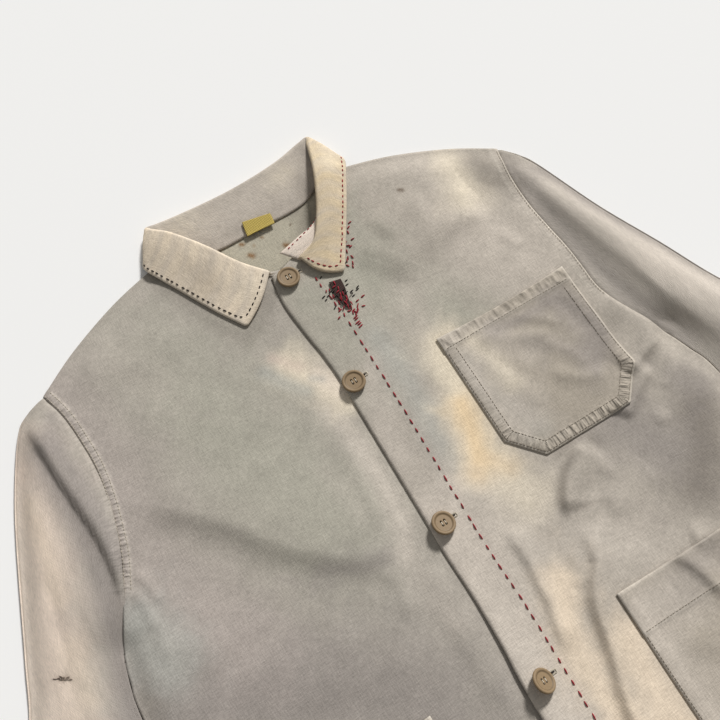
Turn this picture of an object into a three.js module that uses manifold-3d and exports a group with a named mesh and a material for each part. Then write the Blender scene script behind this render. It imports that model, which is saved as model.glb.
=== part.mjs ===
import * as THREE from 'three';
import * as BufferGeometryUtils from 'three/addons/utils/BufferGeometryUtils.js';
import Module from 'manifold-3d';

// A patched work jacket laid flat, front up, with both sleeves drawn down beside the body.
// Millimetres. Plan points are measured from the top button: +x to the viewer's right, which is
// the wearer's left, +y towards the collar, and z up from the surface that the jacket lies on.

const wasm = await Module();
wasm.setup();

// Cloth walls, with the seam turnings that are folded into them
const CLOTH = 1.4;
const COLLAR_CLOTH = 2.0;
const PATCH_CLOTH = 1.0;
const SEAM_GAP = 0.35;
const SLACK = 0.5;

// Body outline
const HEM_Y = -660;
const HEM_HALF = 287;
const UNDERARM = { left: [274, -213], right: [265, -220] };
const SHOULDER_TIP = [240, 17];
const NECK_POINT = [84, 79];
const BACK_NECK_Y = 66;
const LAP_EDGE_X = -13;
const UNDERLAP_EDGE_X = 18;
const LAP_TOP_Y = 9;

// Heights of the cloth that lies on the back panel
const FRONT_BASE = 2 * CLOTH + SEAM_GAP;
const FRONT_LOFT = 6;
const SLEEVE_LOFT = 10;
const EDGE_ROLL = 15;
const SLEEVE_OUTER_ROLL = 17;
const SLEEVE_INNER_ROLL = 24;
const LOFT_FROM = 0.15;
const LAP_RISE = CLOTH + SEAM_GAP + SLACK;
const LAP_FULL_X = 24;
const LAP_END_X = 62;
const UNDERLAP_PLAIN = [-30, 4];
const FOLD_FADE = 0.22;

// Sleeves
const CUFF_WIDTH = 132;
const CUFF_TURN = THREE.MathUtils.degToRad(28);
const CUFF_FLATTEN = 0.85;
const CUFF_FLAT_FROM = 0.82;
// The curve of the armhole dies out along the sleeve, sooner on the inner side
const ARMHOLE_BOW = [5, 23];

// Collar
const ROLL_RADIUS = 2.2;
const LEAF_SWELL = 1.5;
const ROLL_RISE = 8;
const FRONT_END_RISE = 3.5;
const SHORT_ROLL_RISE = 6;
const LEAF_REST = [-9, 0, 9];
// The bow of the front ends dies out within one part in this many of the collar's length
const COLLAR_BOW_REACH = 12;

// Pockets
const CHEST_POCKET = { left: 83, right: 218.5, top: -118.5, bottom: -255, cutX: 25, cutY: 28, hem: 14 };
const SIDE_POCKET = { left: 88.5, right: 258.5, top: -378, bottom: -568, cutX: 30, cutY: 34, hem: 37 };
const POCKET_HEM_RISE = 0.7;
const POCKET_HEM_STEP = 1.2;

// Buttons
const BUTTON_RADIUS = 10;
const BUTTON_HEIGHT = 3;
const BUTTON_HOLE_RADIUS = 0.9;
const BUTTON_HOLE_REACH = 2.4;
const BUTTON_FACETS = 15;
// Radius and height round the button: flat back, rim and dished face
const BUTTON_PROFILE = [[0, 0], [8.2, 0], [BUTTON_RADIUS, 1.1], [BUTTON_RADIUS, 2.1], [9.2, BUTTON_HEIGHT],
  [7.8, BUTTON_HEIGHT], [6.6, 2.2], [0, 2]];
const FIRST_SPACING = 115;
const BUTTON_SPACING = 143.5;
const BUTTON_COUNT = 5;
const BUTTON_REST = 25;

// Mesh steps
const SIDE_ROWS = 16;
const ARMHOLE_ROWS = 12;
const NECK_COLUMNS = 7;
const SHOULDER_COLUMNS = 11;
const BACK_SHOULDER_COLUMNS = 5;
const BACK_NECK_COLUMNS = 6;
const SLEEVE_STATIONS = 17;
const COLLAR_STATIONS = 40;
const POCKET_STEPS = 8;
const PATCH_STEPS = 3;
const CROWDING = 0.7;

const { lerp, smoothstep } = THREE.MathUtils;

// A smooth line through plan points, read by its share of the length.
function planLine(points) {
  return new THREE.SplineCurve(points.map(([x, y]) => new THREE.Vector2(x, y)));
}

// Steps from 0 to 1 that crowd together towards the ends that are named.
function easedSteps(count, crowdStart, crowdEnd) {
  const steps = [];
  for (let k = 0; k <= count; k += 1) {
    const t = k / count;
    const start = crowdStart ? 1 - Math.cos((t * Math.PI) / 2) : t;
    const end = crowdEnd ? Math.sin((t * Math.PI) / 2) : t;
    steps.push(lerp(t, lerp(start, end, t), CROWDING));
  }
  return steps;
}

// The nearest place on a line: signed distance, positive on the left hand, and share of the length.
class NearLine {
  constructor(points, steps = 36) {
    this.points = planLine(points).getSpacedPoints(steps);
  }

  nearest(x, y) {
    let best = { distance: Infinity, along: 0 };
    const last = this.points.length - 1;
    for (let k = 0; k < last; k += 1) {
      const a = this.points[k];
      const b = this.points[k + 1];
      const dx = b.x - a.x;
      const dy = b.y - a.y;
      const t = THREE.MathUtils.clamp(((x - a.x) * dx + (y - a.y) * dy) / (dx * dx + dy * dy), 0, 1);
      const distance = Math.hypot(x - a.x - t * dx, y - a.y - t * dy);
      if (distance < best.distance) {
        const side = Math.sign(dx * (y - a.y) - dy * (x - a.x)) || 1;
        best = { distance, offset: side * distance, along: (k + t) / last };
      }
    }
    return best;
  }
}

// Plan outline of the body. The sides are the viewer's, and the viewer's left is drawn mirrored.
const SIDE_SEAM = {
  left: [[HEM_HALF, HEM_Y], [285, -400], [283, -265], [280, -238], UNDERARM.left],
  right: [[HEM_HALF, HEM_Y], [285, -400], [284, -310], [280, -262], [273, -241], UNDERARM.right],
};
const ARMHOLE = {
  left: [UNDERARM.left, [262, -190], [250, -164], [241, -142], [235, -119], [230, -94],
    [227, -66], [228, -40], [231.5, -10], SHOULDER_TIP],
  right: [UNDERARM.right, [255, -199], [246, -181], [239, -165], [235.5, -147], [235.5, -128], [235, -105],
    [232, -76], [230, -48], [232, -14], SHOULDER_TIP],
};
const SHOULDER = [NECK_POINT, [107, 75.5], [150, 63], [200, 41], SHOULDER_TIP];
const LAP_EDGE = [[LAP_EDGE_X, HEM_Y], [-15, -410], [-12.5, -260], [-9.5, -120], [LAP_EDGE_X, LAP_TOP_Y]];
const LAP_NECK = [[LAP_EDGE_X, LAP_TOP_Y], [4, 13], [24, 21], [46, 29], [66, 50], NECK_POINT];
const UNDERLAP_EDGE = [[-UNDERLAP_EDGE_X, HEM_Y], [-UNDERLAP_EDGE_X, -300], [-UNDERLAP_EDGE_X, LAP_TOP_Y]];
const UNDERLAP_NECK = [[-UNDERLAP_EDGE_X, LAP_TOP_Y], [4, 13], [24, 21], [46, 32], [66, 53], NECK_POINT];
const BACK_NECK = [[-NECK_POINT[0], NECK_POINT[1]], [-74, 71], [-48, 67], [0, BACK_NECK_Y],
  [48, 67], [74, 71], NECK_POINT];
const SIDE_LINE = { left: new NearLine(SIDE_SEAM.left), right: new NearLine(SIDE_SEAM.right) };
const SHOULDER_LINE = new NearLine(SHOULDER);

// Outer and inner edge of each sleeve, from the armhole to the cuff.
const SLEEVE_EDGES = {
  right: {
    outer: [SHOULDER_TIP, [254, 0], [264, -20], [287, -84], [313, -143], [337, -200], [372, -262],
      [414, -336], [512, -520]],
    inner: [UNDERARM.right, [276, -241], [284, -265], [289.5, -330], [303, -405], [340, -492]],
  },
  left: {
    outer: [SHOULDER_TIP, [256, 11], [271, -1], [291, -38], [311, -85], [344, -176], [362, -224],
      [398, -292], [438, -366], [515, -508]],
    inner: [UNDERARM.left, [283, -236], [287.5, -268], [291, -330], [304, -405], [342, -488]],
  },
};
for (const edges of Object.values(SLEEVE_EDGES)) {
  const [x, y] = edges.outer.at(-1);
  edges.inner.push([x - CUFF_WIDTH * Math.cos(CUFF_TURN), y - CUFF_WIDTH * Math.sin(CUFF_TURN)]);
}

// Main folds: a crest or trough along a line, with its height and its reach to the left and right hand.
function fold(points, height, left, right) {
  return { line: new NearLine(points), height, left, right };
}

const RIGHT_FRONT_FOLDS = [
  fold([[-207, -116], [-180, -138], [-150, -168], [-122, -198], [-90, -222], [-45, -246]], 6.5, 60, 17),
  fold([[-30, -262], [-26, -330], [-30, -430]], 1.8, 12, 14),
  fold([[-255, -205], [-222, -200], [-196, -235]], 2.5, 24, 16),
  fold([[-240, -400], [-170, -440], [-80, -540], [-60, -640]], 3.5, 40, 24),
  fold([[-210, 45], [-196, 10], [-150, -10], [-90, -8]], 2, 26, 22),
];
const LEFT_FRONT_FOLDS = [
  fold([[78, -54], [105, -36], [142, -26], [195, -34]], 3.6, 42, 18),
  fold([[215, 22], [212, -8], [224, -24]], -2.2, 15, 15),
  fold([[97, -345], [84, -370], [72, -388], [59, -427], [46, -480]], 4, 40, 14),
  fold([[138, -280], [121, -284], [108, -293], [92, -314], [66, -322]], 3, 30, 12),
  fold([[196, -258], [226, -226], [262, -212]], 2.6, 22, 14),
  fold([[262, -240], [255, -285], [215, -318], [182, -336], [158, -384]], -3.6, 24, 26),
  fold([[70, -480], [78, -560], [66, -640]], 3, 26, 30),
];
const SLEEVE_FOLDS = {
  left: [
    fold([[-261, 6], [-254, -35], [-250, -70], [-247, -110], [-246, -152], [-256, -182]], 4.5, 16, 6),
    fold([[-420, -372], [-370, -392], [-318, -440]], 4, 16, 24),
    fold([[-392, -300], [-345, -318], [-300, -352]], 3.5, 14, 22),
  ],
  right: [
    fold([[237, 0], [241, -60], [250, -105], [264, -160], [282, -212], [294, -275]], -5, 15, 9),
    fold([[412, -385], [365, -402], [312, -452]], 4, 24, 16),
    fold([[384, -312], [345, -326], [300, -362]], 3.5, 22, 14),
  ],
};

function foldRelief(folds, x, y) {
  let height = 0;
  for (const { line, height: crest, left, right } of folds) {
    const near = line.nearest(x, y);
    const reach = near.offset > 0 ? left : right;
    const fade = smoothstep(near.along, 0, FOLD_FADE) * (1 - smoothstep(near.along, 1 - FOLD_FADE, 1));
    height += crest * fade * Math.exp(-((near.distance / reach) ** 2));
  }
  return height;
}

// Share of its full height that cloth has at a distance from an edge where it rolls down.
function edgeRise(distance, reach) {
  return 1 - Math.exp(-((distance / reach) ** 2));
}

// Upper face of a front panel: it rolls down at the side seam, the shoulder and the hem, and carries the
// folds. It runs on level across the armhole seam into the sleeve.
function frontHeight(folds, x, y) {
  const lines = [SIDE_LINE[x < 0 ? 'left' : 'right'], SHOULDER_LINE];
  const [side, shoulder] = lines.map((line) => line.nearest(Math.abs(x), y).distance);
  const edge = Math.min(side, shoulder, 2 * (y - HEM_Y));
  return FRONT_BASE + Math.max(0, edgeRise(edge, EDGE_ROLL) * (FRONT_LOFT + foldRelief(folds, x, y)));
}

// The wearer's right front runs under the other, where its folds die out.
function rightFrontHeight(x, y) {
  const plain = frontHeight([], x, y);
  return lerp(frontHeight(RIGHT_FRONT_FOLDS, x, y), plain, smoothstep(x, ...UNDERLAP_PLAIN));
}

// The wearer's left front lies on the other along the lap.
function leftFrontHeight(x, y) {
  const lap = LAP_RISE * (1 - smoothstep(x, LAP_FULL_X, LAP_END_X));
  return Math.max(frontHeight(LEFT_FRONT_FOLDS, x, y), rightFrontHeight(x, y)) + lap;
}

// A closed mesh from points and quads, each cut along its shorter diagonal, with its faces turned outwards.
function closedMesh(points, quads) {
  const index = [];
  for (const [a, b, c, d] of quads) {
    if (points[a].distanceTo(points[c]) < points[b].distanceTo(points[d])) {
      index.push(a, b, c, a, c, d);
    } else {
      index.push(b, c, d, b, d, a);
    }
  }
  let volume = 0;
  for (let k = 0; k < index.length; k += 3) {
    const [a, b, c] = [points[index[k]], points[index[k + 1]], points[index[k + 2]]];
    volume += a.dot(new THREE.Vector3().crossVectors(b, c));
  }
  if (volume < 0) {
    index.reverse();
  }
  const geometry = new THREE.BufferGeometry().setFromPoints(points);
  geometry.setIndex(index);
  geometry.computeVertexNormals();
  return geometry;
}

// A wall between two grids of points of the same size, closed round its four edges.
function wallBetween(upper, lower) {
  const rows = upper.length;
  const columns = upper[0].length;
  const at = (layer, i, j) => layer * rows * columns + i * columns + j;
  const quads = [];
  for (let i = 0; i + 1 < rows; i += 1) {
    for (let j = 0; j + 1 < columns; j += 1) {
      quads.push([at(0, i, j), at(0, i, j + 1), at(0, i + 1, j + 1), at(0, i + 1, j)]);
      quads.push([at(1, i, j), at(1, i + 1, j), at(1, i + 1, j + 1), at(1, i, j + 1)]);
    }
  }
  const lastRow = rows - 1;
  const lastColumn = columns - 1;
  for (let i = 0; i < lastRow; i += 1) {
    quads.push([at(0, i, 0), at(0, i + 1, 0), at(1, i + 1, 0), at(1, i, 0)]);
    const [near, far] = [i * columns + lastColumn, (i + 1) * columns + lastColumn];
    quads.push([far, near, near + rows * columns, far + rows * columns]);
  }
  for (let j = 0; j < lastColumn; j += 1) {
    quads.push([at(0, 0, j + 1), at(0, 0, j), at(1, 0, j), at(1, 0, j + 1)]);
    quads.push([at(0, lastRow, j), at(0, lastRow, j + 1), at(1, lastRow, j + 1), at(1, lastRow, j)]);
  }
  return closedMesh([...upper.flat(), ...lower.flat()], quads);
}

// A tube wall between outer and inner closed rings, open at both ends.
function tubeBetween(outer, inner) {
  const stations = outer.length;
  const around = outer[0].length;
  const at = (layer, i, j) => layer * stations * around + i * around + (j % around);
  const quads = [];
  for (let j = 0; j < around; j += 1) {
    for (let i = 0; i + 1 < stations; i += 1) {
      quads.push([at(0, i, j), at(0, i, j + 1), at(0, i + 1, j + 1), at(0, i + 1, j)]);
      quads.push([at(1, i, j), at(1, i + 1, j), at(1, i + 1, j + 1), at(1, i, j + 1)]);
    }
    quads.push([at(0, 0, j + 1), at(0, 0, j), at(1, 0, j), at(1, 0, j + 1)]);
    const end = stations - 1;
    quads.push([at(0, end, j), at(0, end, j + 1), at(1, end, j + 1), at(1, end, j)]);
  }
  return closedMesh([...outer.flat(), ...inner.flat()], quads);
}

// A flat sheet of cloth on a height function: the upper grid and the same grid one cloth lower.
function clothWall(plan, height, thickness = CLOTH) {
  const upper = plan.map((row) => row.map(({ x, y }) => new THREE.Vector3(x, y, height(x, y))));
  const lower = upper.map((row) => row.map(({ x, y, z }) => new THREE.Vector3(x, y, z - thickness)));
  return { upper, geometry: wallBetween(upper, lower) };
}

// Side edge points from hem to shoulder tip, which the body panels and the sleeve share.
function sideEdge(side) {
  const seam = planLine(SIDE_SEAM[side]);
  const armhole = planLine(ARMHOLE[side]);
  const below = easedSteps(SIDE_ROWS, true, false).map((t) => seam.getPointAt(t));
  const above = easedSteps(ARMHOLE_ROWS, false, true).map((t) => armhole.getPointAt(t));
  return [...below, ...above.slice(1)];
}

const SIDE_EDGE = { left: sideEdge('left'), right: sideEdge('right') };
const ARMHOLE_EDGE = {
  left: SIDE_EDGE.left.slice(SIDE_ROWS).toReversed(),
  right: SIDE_EDGE.right.slice(SIDE_ROWS).toReversed(),
};

// Plan grid blended between four edges: rows from hem to top, columns from the first edge to the last.
function blendedPlan(firstEdge, lastEdge, bottom, top, shares) {
  const heights = lastEdge.map(({ y }) => (y - HEM_Y) / (SHOULDER_TIP[1] - HEM_Y));
  return lastEdge.map((_, i) => shares.map((u, j) => {
    const v = heights[i];
    const across = firstEdge[i].clone().lerp(lastEdge[i], u);
    const along = bottom[j].clone().lerp(top[j], v);
    const low = bottom[0].clone().lerp(bottom.at(-1), u);
    const high = top[0].clone().lerp(top.at(-1), u);
    return across.add(along).sub(low.lerp(high, v));
  }));
}

// Shares of the hem that the columns of a front panel take, with one column at the neck point.
function frontPlan(edgePoints, neckPoints, side) {
  const edge = planLine(edgePoints);
  const neck = planLine(neckPoints);
  const shoulder = planLine(SHOULDER);
  const start = edgePoints[0][0];
  const neckShare = (NECK_POINT[0] - start) / (HEM_HALF - start);
  const neckSteps = easedSteps(NECK_COLUMNS, true, false);
  const shoulderSteps = easedSteps(SHOULDER_COLUMNS, false, true);
  const shares = [...neckSteps.map((t) => t * neckShare),
    ...shoulderSteps.slice(1).map((t) => lerp(neckShare, 1, t))];
  const top = [...neckSteps.map((t) => neck.getPointAt(t)),
    ...shoulderSteps.slice(1).map((t) => shoulder.getPointAt(t))];
  const bottom = shares.map((u) => new THREE.Vector2(lerp(start, HEM_HALF, u), HEM_Y));
  const last = SIDE_EDGE[side];
  const first = last.map(({ y }) => edge.getPoint((y - HEM_Y) / (SHOULDER_TIP[1] - HEM_Y)));
  return blendedPlan(first, last, bottom, top, shares);
}

function mirrorPlan(plan) {
  return plan.map((row) => row.map(({ x, y }) => new THREE.Vector2(-x, y)));
}

function backPlan() {
  const shoulder = planLine(SHOULDER);
  const neck = planLine(BACK_NECK);
  const neckShare = (1 - NECK_POINT[0] / HEM_HALF) / 2;
  const shoulderSteps = easedSteps(BACK_SHOULDER_COLUMNS, false, true);
  const neckSteps = easedSteps(BACK_NECK_COLUMNS, false, false);
  const outer = shoulderSteps.slice(1).map((t) => (
    { share: 1 - neckShare * (1 - t), point: shoulder.getPointAt(t) }));
  const inner = neckSteps.map((t) => (
    { share: lerp(neckShare, 1 - neckShare, t), point: neck.getPointAt(t) }));
  const far = outer.toReversed().map(({ share, point }) => (
    { share: 1 - share, point: new THREE.Vector2(-point.x, point.y) }));
  const all = [...far, ...inner, ...outer];
  const shares = all.map(({ share }) => share);
  const bottom = shares.map((u) => new THREE.Vector2(lerp(-HEM_HALF, HEM_HALF, u), HEM_Y));
  const first = SIDE_EDGE.left.map(({ x, y }) => new THREE.Vector2(-x, y));
  return blendedPlan(first, SIDE_EDGE.right, bottom, all.map(({ point }) => point), shares);
}

// Sleeve: flattened rings from the armhole to the cuff, the upper layer lofted and folded.
function sleeve(name) {
  const { outer, inner } = SLEEVE_EDGES[name];
  const turn = name === 'left' ? -1 : 1;
  const outerLine = planLine(outer);
  const innerLine = planLine(inner);
  const outerNear = new NearLine(outer, 60);
  const innerNear = new NearLine(inner, 60);
  const armhole = ARMHOLE_EDGE[name];
  const shares = armhole.map((_, k) => k / ARMHOLE_ROWS);
  const outerRings = [];
  const innerRings = [];
  for (let i = 0; i <= SLEEVE_STATIONS; i += 1) {
    const s = i / SLEEVE_STATIONS;
    const start = outerLine.getPointAt(s);
    const end = innerLine.getPointAt(s);
    const across = end.clone().sub(start).normalize().multiplyScalar(CLOTH);
    const loft = lerp(FRONT_LOFT, SLEEVE_LOFT, smoothstep(s, 0, LOFT_FROM));
    const ring = shares.map((w, k) => {
      const straight = new THREE.Vector2().lerpVectors(armhole[0], armhole.at(-1), w);
      const bow = armhole[k].clone().sub(straight).multiplyScalar((1 - s) ** lerp(...ARMHOLE_BOW, w));
      const point = start.clone().lerp(end, w).add(bow);
      point.x += SEAM_GAP + SLACK * Math.min(1, s * SLEEVE_STATIONS);
      const outside = edgeRise(outerNear.nearest(point.x, point.y).distance, SLEEVE_OUTER_ROLL);
      const inside = edgeRise(innerNear.nearest(point.x, point.y).distance, SLEEVE_INNER_ROLL);
      const folds = foldRelief(SLEEVE_FOLDS[name], turn * point.x, point.y);
      const rise = outside * (inside * loft + Math.min(1, 4 * inside) * folds);
      const z = FRONT_BASE + Math.max(0, rise * (1 - CUFF_FLATTEN * smoothstep(s, CUFF_FLAT_FROM, 1)));
      return { x: point.x, y: point.y, z };
    });
    const inset = (k) => (k === 0 ? 1 : 0) - (k === ARMHOLE_ROWS ? 1 : 0);
    const layer = (lift, level) => ring.map(({ x, y, z }, k) => new THREE.Vector3(
      turn * (x + lift * inset(k) * across.x),
      y + lift * inset(k) * across.y,
      level === 'upper' ? z - lift * CLOTH : lift * CLOTH,
    ));
    outerRings.push([...layer(0, 'upper'), ...layer(0, 'lower').reverse()]);
    innerRings.push([...layer(1, 'upper'), ...layer(1, 'lower').reverse()]);
  }
  return tubeBetween(outerRings, innerRings);
}

// Collar: neck seam, roll line and outer edge at stations from one front end round to the other.
// turn is 0 where the leaf lies over the stand, and half a circle where it lies under it. bow is how far
// the leaf is drawn out sideways at its middle.
function collarStation(neck, roll, edge, turn, bow = [0, 0, 0]) {
  const [atNeck, atRoll, atEdge, side] = [neck, roll, edge, bow].map((point) => new THREE.Vector3(...point));
  return { neck: atNeck, roll: atRoll, edge: atEdge, turn, bow: side };
}

// A front station rests on its panel: the seam and the outer edge just clear it, the roll stands above it.
function frontStation(neck, roll, edge, rise, bow) {
  const height = neck[0] + edge[0] < 0 ? rightFrontHeight : leftFrontHeight;
  const clear = SEAM_GAP + SLACK + COLLAR_CLOTH / 2;
  const rest = ([x, y]) => Math.max(...LEAF_REST.flatMap((dx) => LEAF_REST.map(
    (dy) => height(x + dx, y + dy))));
  return collarStation(
    [...neck, height(...neck) + clear],
    [...roll, height(...neck) + rise],
    [...edge, rest(edge) + clear],
    0,
    bow,
  );
}

const BACK_SEAM_Z = CLOTH + SEAM_GAP + COLLAR_CLOTH / 2;
const BACK_SEAM_Y = 61.5;
const BACK_ROLL_Y = 107;
const BACK_ROLL_Z = 5.8;
const FALL_Z = COLLAR_CLOTH / 2 + 0.15;

const COLLAR_LINES = [
  frontStation([-8, 11], [-13, 12], [-55, -21.5], FRONT_END_RISE, [3.7, -4.6, 0]),
  frontStation([-30, 25], [-32, 33], [-72, 6], SHORT_ROLL_RISE),
  frontStation([-54, 43], [-52, 64], [-89, 38], ROLL_RISE),
  frontStation([-73, 64], [-74, 94], [-102, 63], ROLL_RISE),
  collarStation([-81, 74, 6.5], [-85.5, 108, 9.5], [-108, 77, 7.5], Math.PI * 0.25),
  collarStation([-85, 82, 5.6], [-88, 112.5, 7.5], [-107, 83, 4.6], Math.PI * 0.5),
  collarStation([-75, 74, 4.2], [-80, 112, 6], [-96, 85, 2.2], Math.PI * 0.8),
  collarStation([-52, 63, BACK_SEAM_Z], [-52, 109, BACK_ROLL_Z], [-62, 75, FALL_Z], Math.PI),
  collarStation([0, BACK_SEAM_Y, BACK_SEAM_Z], [0, BACK_ROLL_Y, BACK_ROLL_Z], [0, 71, FALL_Z], Math.PI),
  collarStation([52, 63, BACK_SEAM_Z], [50, 111, BACK_ROLL_Z], [62, 75, FALL_Z], Math.PI),
  collarStation([75, 75, 4.2], [80, 118, 6], [96, 88, 2.2], Math.PI * 0.8),
  collarStation([85, 84, 5.6], [88, 118.5, 7.5], [106, 86, 4.6], Math.PI * 0.5),
  collarStation([81, 74, 6.5], [85, 111, 9.5], [107, 80, 7.5], Math.PI * 0.25),
  frontStation([70, 58], [75, 80], [100, 66], ROLL_RISE),
  frontStation([50, 37], [57, 42], [84, 38], ROLL_RISE),
  frontStation([28, 31], [39, 18], [66, 9], SHORT_ROLL_RISE),
  frontStation([5, 25], [18, 9], [47, -21], FRONT_END_RISE, [-4.6, -4.6, 0]),
];

// One cross-section: up the stand, round the roll and out along the leaf.
function collarSection({ neck, roll, edge, bow, turn }) {
  const middle = neck.clone().lerp(edge, 0.5);
  const ahead = roll.clone().sub(middle).setZ(0).normalize();
  const outward = edge.clone().sub(neck).setZ(0).normalize();
  const lift = outward.multiplyScalar(Math.sin(turn)).setZ(Math.cos(turn)).normalize();
  const standEnd = roll.clone().addScaledVector(lift, -ROLL_RADIUS);
  const leafStart = roll.clone().addScaledVector(lift, ROLL_RADIUS);
  const section = [0, 0.35, 0.7, 1].map((t) => neck.clone().lerp(standEnd, t));
  for (const angle of [Math.PI / 4, Math.PI / 2, (3 * Math.PI) / 4]) {
    section.push(roll.clone()
      .addScaledVector(lift, -ROLL_RADIUS * Math.cos(angle))
      .addScaledVector(ahead, ROLL_RADIUS * Math.sin(angle)));
  }
  for (const t of [0, 0.25, 0.5, 0.75, 1]) {
    const arch = Math.sin(Math.PI * t);
    const point = leafStart.clone().lerp(edge, t).addScaledVector(lift, LEAF_SWELL * arch * (1 - t));
    section.push(point.addScaledVector(bow, arch));
  }
  return section;
}

// Moves each point of a grid along the surface normal, half a wall to either side.
function offsetGrid(grid, distance) {
  const last = grid.length - 1;
  const end = grid[0].length - 1;
  return grid.map((row, i) => row.map((point, j) => {
    const along = grid[Math.min(i + 1, last)][j].clone().sub(grid[Math.max(i - 1, 0)][j]);
    const across = grid[i][Math.min(j + 1, end)].clone().sub(grid[i][Math.max(j - 1, 0)]);
    const normal = along.cross(across).normalize();
    return point.clone().addScaledVector(normal, distance);
  }));
}

function collar() {
  const through = (key) => new THREE.CatmullRomCurve3(COLLAR_LINES.map((station) => station[key]));
  const [neck, roll, edge] = ['neck', 'roll', 'edge'].map(through);
  const ends = [COLLAR_LINES[0], COLLAR_LINES.at(-1)];
  const turns = new THREE.SplineCurve(COLLAR_LINES.map(({ turn }, k) => new THREE.Vector2(k, turn)));
  const grid = [];
  for (let i = 0; i <= COLLAR_STATIONS; i += 1) {
    const s = i / COLLAR_STATIONS;
    const [first, last] = [s, 1 - s].map((t) => Math.max(0, 1 - t * COLLAR_BOW_REACH));
    const bow = ends[0].bow.clone().multiplyScalar(first).addScaledVector(ends[1].bow, last);
    grid.push(collarSection({
      neck: neck.getPoint(s),
      roll: roll.getPoint(s),
      edge: edge.getPoint(s),
      bow,
      turn: turns.getPoint(s).y,
    }));
  }
  return wallBetween(offsetGrid(grid, COLLAR_CLOTH / 2), offsetGrid(grid, -COLLAR_CLOTH / 2));
}

// Highest point of a panel's own facets within reach of a plan point.
function restingHeight(panel, x, y, reach) {
  let highest = -Infinity;
  for (const row of panel) {
    for (const point of row) {
      if (Math.hypot(point.x - x, point.y - y) < reach) {
        highest = Math.max(highest, point.z);
      }
    }
  }
  return highest;
}

// A patch pocket with cut lower corners, made from the points of its panel moved out.
// The turned hem along its mouth stands a little higher than the rest.
function patchPocket({ left, right, top, bottom, cutX, cutY, hem }, panelHeight) {
  const below = easedSteps(POCKET_STEPS - 2, false, true);
  const rows = [top, top - hem, ...below.map((t) => lerp(top - hem - POCKET_HEM_STEP, bottom + cutY, t))];
  rows.push(lerp(bottom + cutY, bottom, 0.5), bottom);
  const plan = rows.map((y) => {
    const cut = Math.max(0, 1 - (y - bottom) / cutY) * cutX;
    const steps = easedSteps(POCKET_STEPS, true, true);
    return steps.map((t) => new THREE.Vector2(lerp(left + cut, right - cut, t), y));
  });
  const clear = SEAM_GAP + SLACK + CLOTH;
  const hemRise = (y) => (y >= top - hem ? POCKET_HEM_RISE : 0);
  return clothWall(plan, (x, y) => panelHeight(x, y) + clear + hemRise(y)).geometry;
}

function solidFrom(geometry) {
  const bare = geometry.index ? geometry.clone() : geometry;
  bare.deleteAttribute('normal');
  bare.deleteAttribute('uv');
  const merged = BufferGeometryUtils.mergeVertices(bare, 1e-4);
  return new wasm.Manifold(new wasm.Mesh({
    numProp: 3,
    vertProperties: new Float32Array(merged.attributes.position.array),
    triVerts: new Uint32Array(merged.index.array),
  }));
}

function geometryFrom(solid) {
  const mesh = solid.getMesh();
  const geometry = new THREE.BufferGeometry();
  geometry.setAttribute('position', new THREE.BufferAttribute(mesh.vertProperties, 3));
  geometry.setIndex(new THREE.BufferAttribute(mesh.triVerts, 1));
  return geometry;
}

// A sewn-through button: a turned disc with a raised rim and four holes.
function buttonGeometry() {
  const profile = BUTTON_PROFILE.map(([x, y]) => new THREE.Vector2(x, y));
  let solid = solidFrom(new THREE.LatheGeometry(profile, BUTTON_FACETS).rotateX(Math.PI / 2));
  for (let k = 0; k < 4; k += 1) {
    const turn = (k + 0.5) * (Math.PI / 2);
    const hole = new THREE.CylinderGeometry(BUTTON_HOLE_RADIUS, BUTTON_HOLE_RADIUS, 4 * BUTTON_HEIGHT, 6);
    hole.rotateX(Math.PI / 2);
    hole.translate(BUTTON_HOLE_REACH * Math.cos(turn), BUTTON_HOLE_REACH * Math.sin(turn), 0);
    solid = solid.subtract(solidFrom(hole));
  }
  return geometryFrom(solid);
}

// A small patch with its own outline, given as pairs of left and right points from top to bottom.
function patchWall(pairs, height, thickness, steps) {
  const plan = pairs.map(([left, right]) => {
    const row = [];
    for (let k = 0; k <= steps; k += 1) {
      row.push(new THREE.Vector2(lerp(left[0], right[0], k / steps), lerp(left[1], right[1], k / steps)));
    }
    return row;
  });
  return clothWall(plan, (x, y) => height(x, y) + SEAM_GAP + SLACK + thickness, thickness).geometry;
}

function cloth(color) {
  return new THREE.MeshStandardMaterial({ color, roughness: 0.92, metalness: 0 });
}

const MATERIALS = {
  twill: cloth('#a8a195'),
  collar: cloth('#c4b49c'),
  button: new THREE.MeshStandardMaterial({ color: '#9c8a6e', roughness: 0.45, metalness: 0 }),
  label: cloth('#cdb84e'),
  darn: cloth('#4b3b36'),
};

const jacket = new THREE.Group();

function sew(name, geometry, material) {
  const piece = new THREE.Mesh(geometry, material);
  piece.name = name;
  jacket.add(piece);
  return piece;
}

sew('back_panel', clothWall(backPlan(), () => CLOTH).geometry, MATERIALS.twill);
const rightFront = clothWall(mirrorPlan(frontPlan(UNDERLAP_EDGE, UNDERLAP_NECK, 'left')), rightFrontHeight);
const leftFront = clothWall(frontPlan(LAP_EDGE, LAP_NECK, 'right'), leftFrontHeight);
sew('front_right_panel', rightFront.geometry, MATERIALS.twill);
sew('front_left_panel', leftFront.geometry, MATERIALS.twill);
sew('sleeve_right', sleeve('left'), MATERIALS.twill);
sew('sleeve_left', sleeve('right'), MATERIALS.twill);
sew('collar', collar(), MATERIALS.collar);

sew('chest_pocket', patchPocket(CHEST_POCKET, leftFrontHeight), MATERIALS.twill);
sew('pocket_left', patchPocket(SIDE_POCKET, leftFrontHeight), MATERIALS.twill);
const otherPocket = { ...SIDE_POCKET, left: -SIDE_POCKET.right, right: -SIDE_POCKET.left };
sew('pocket_right', patchPocket(otherPocket, rightFrontHeight), MATERIALS.twill);

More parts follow.
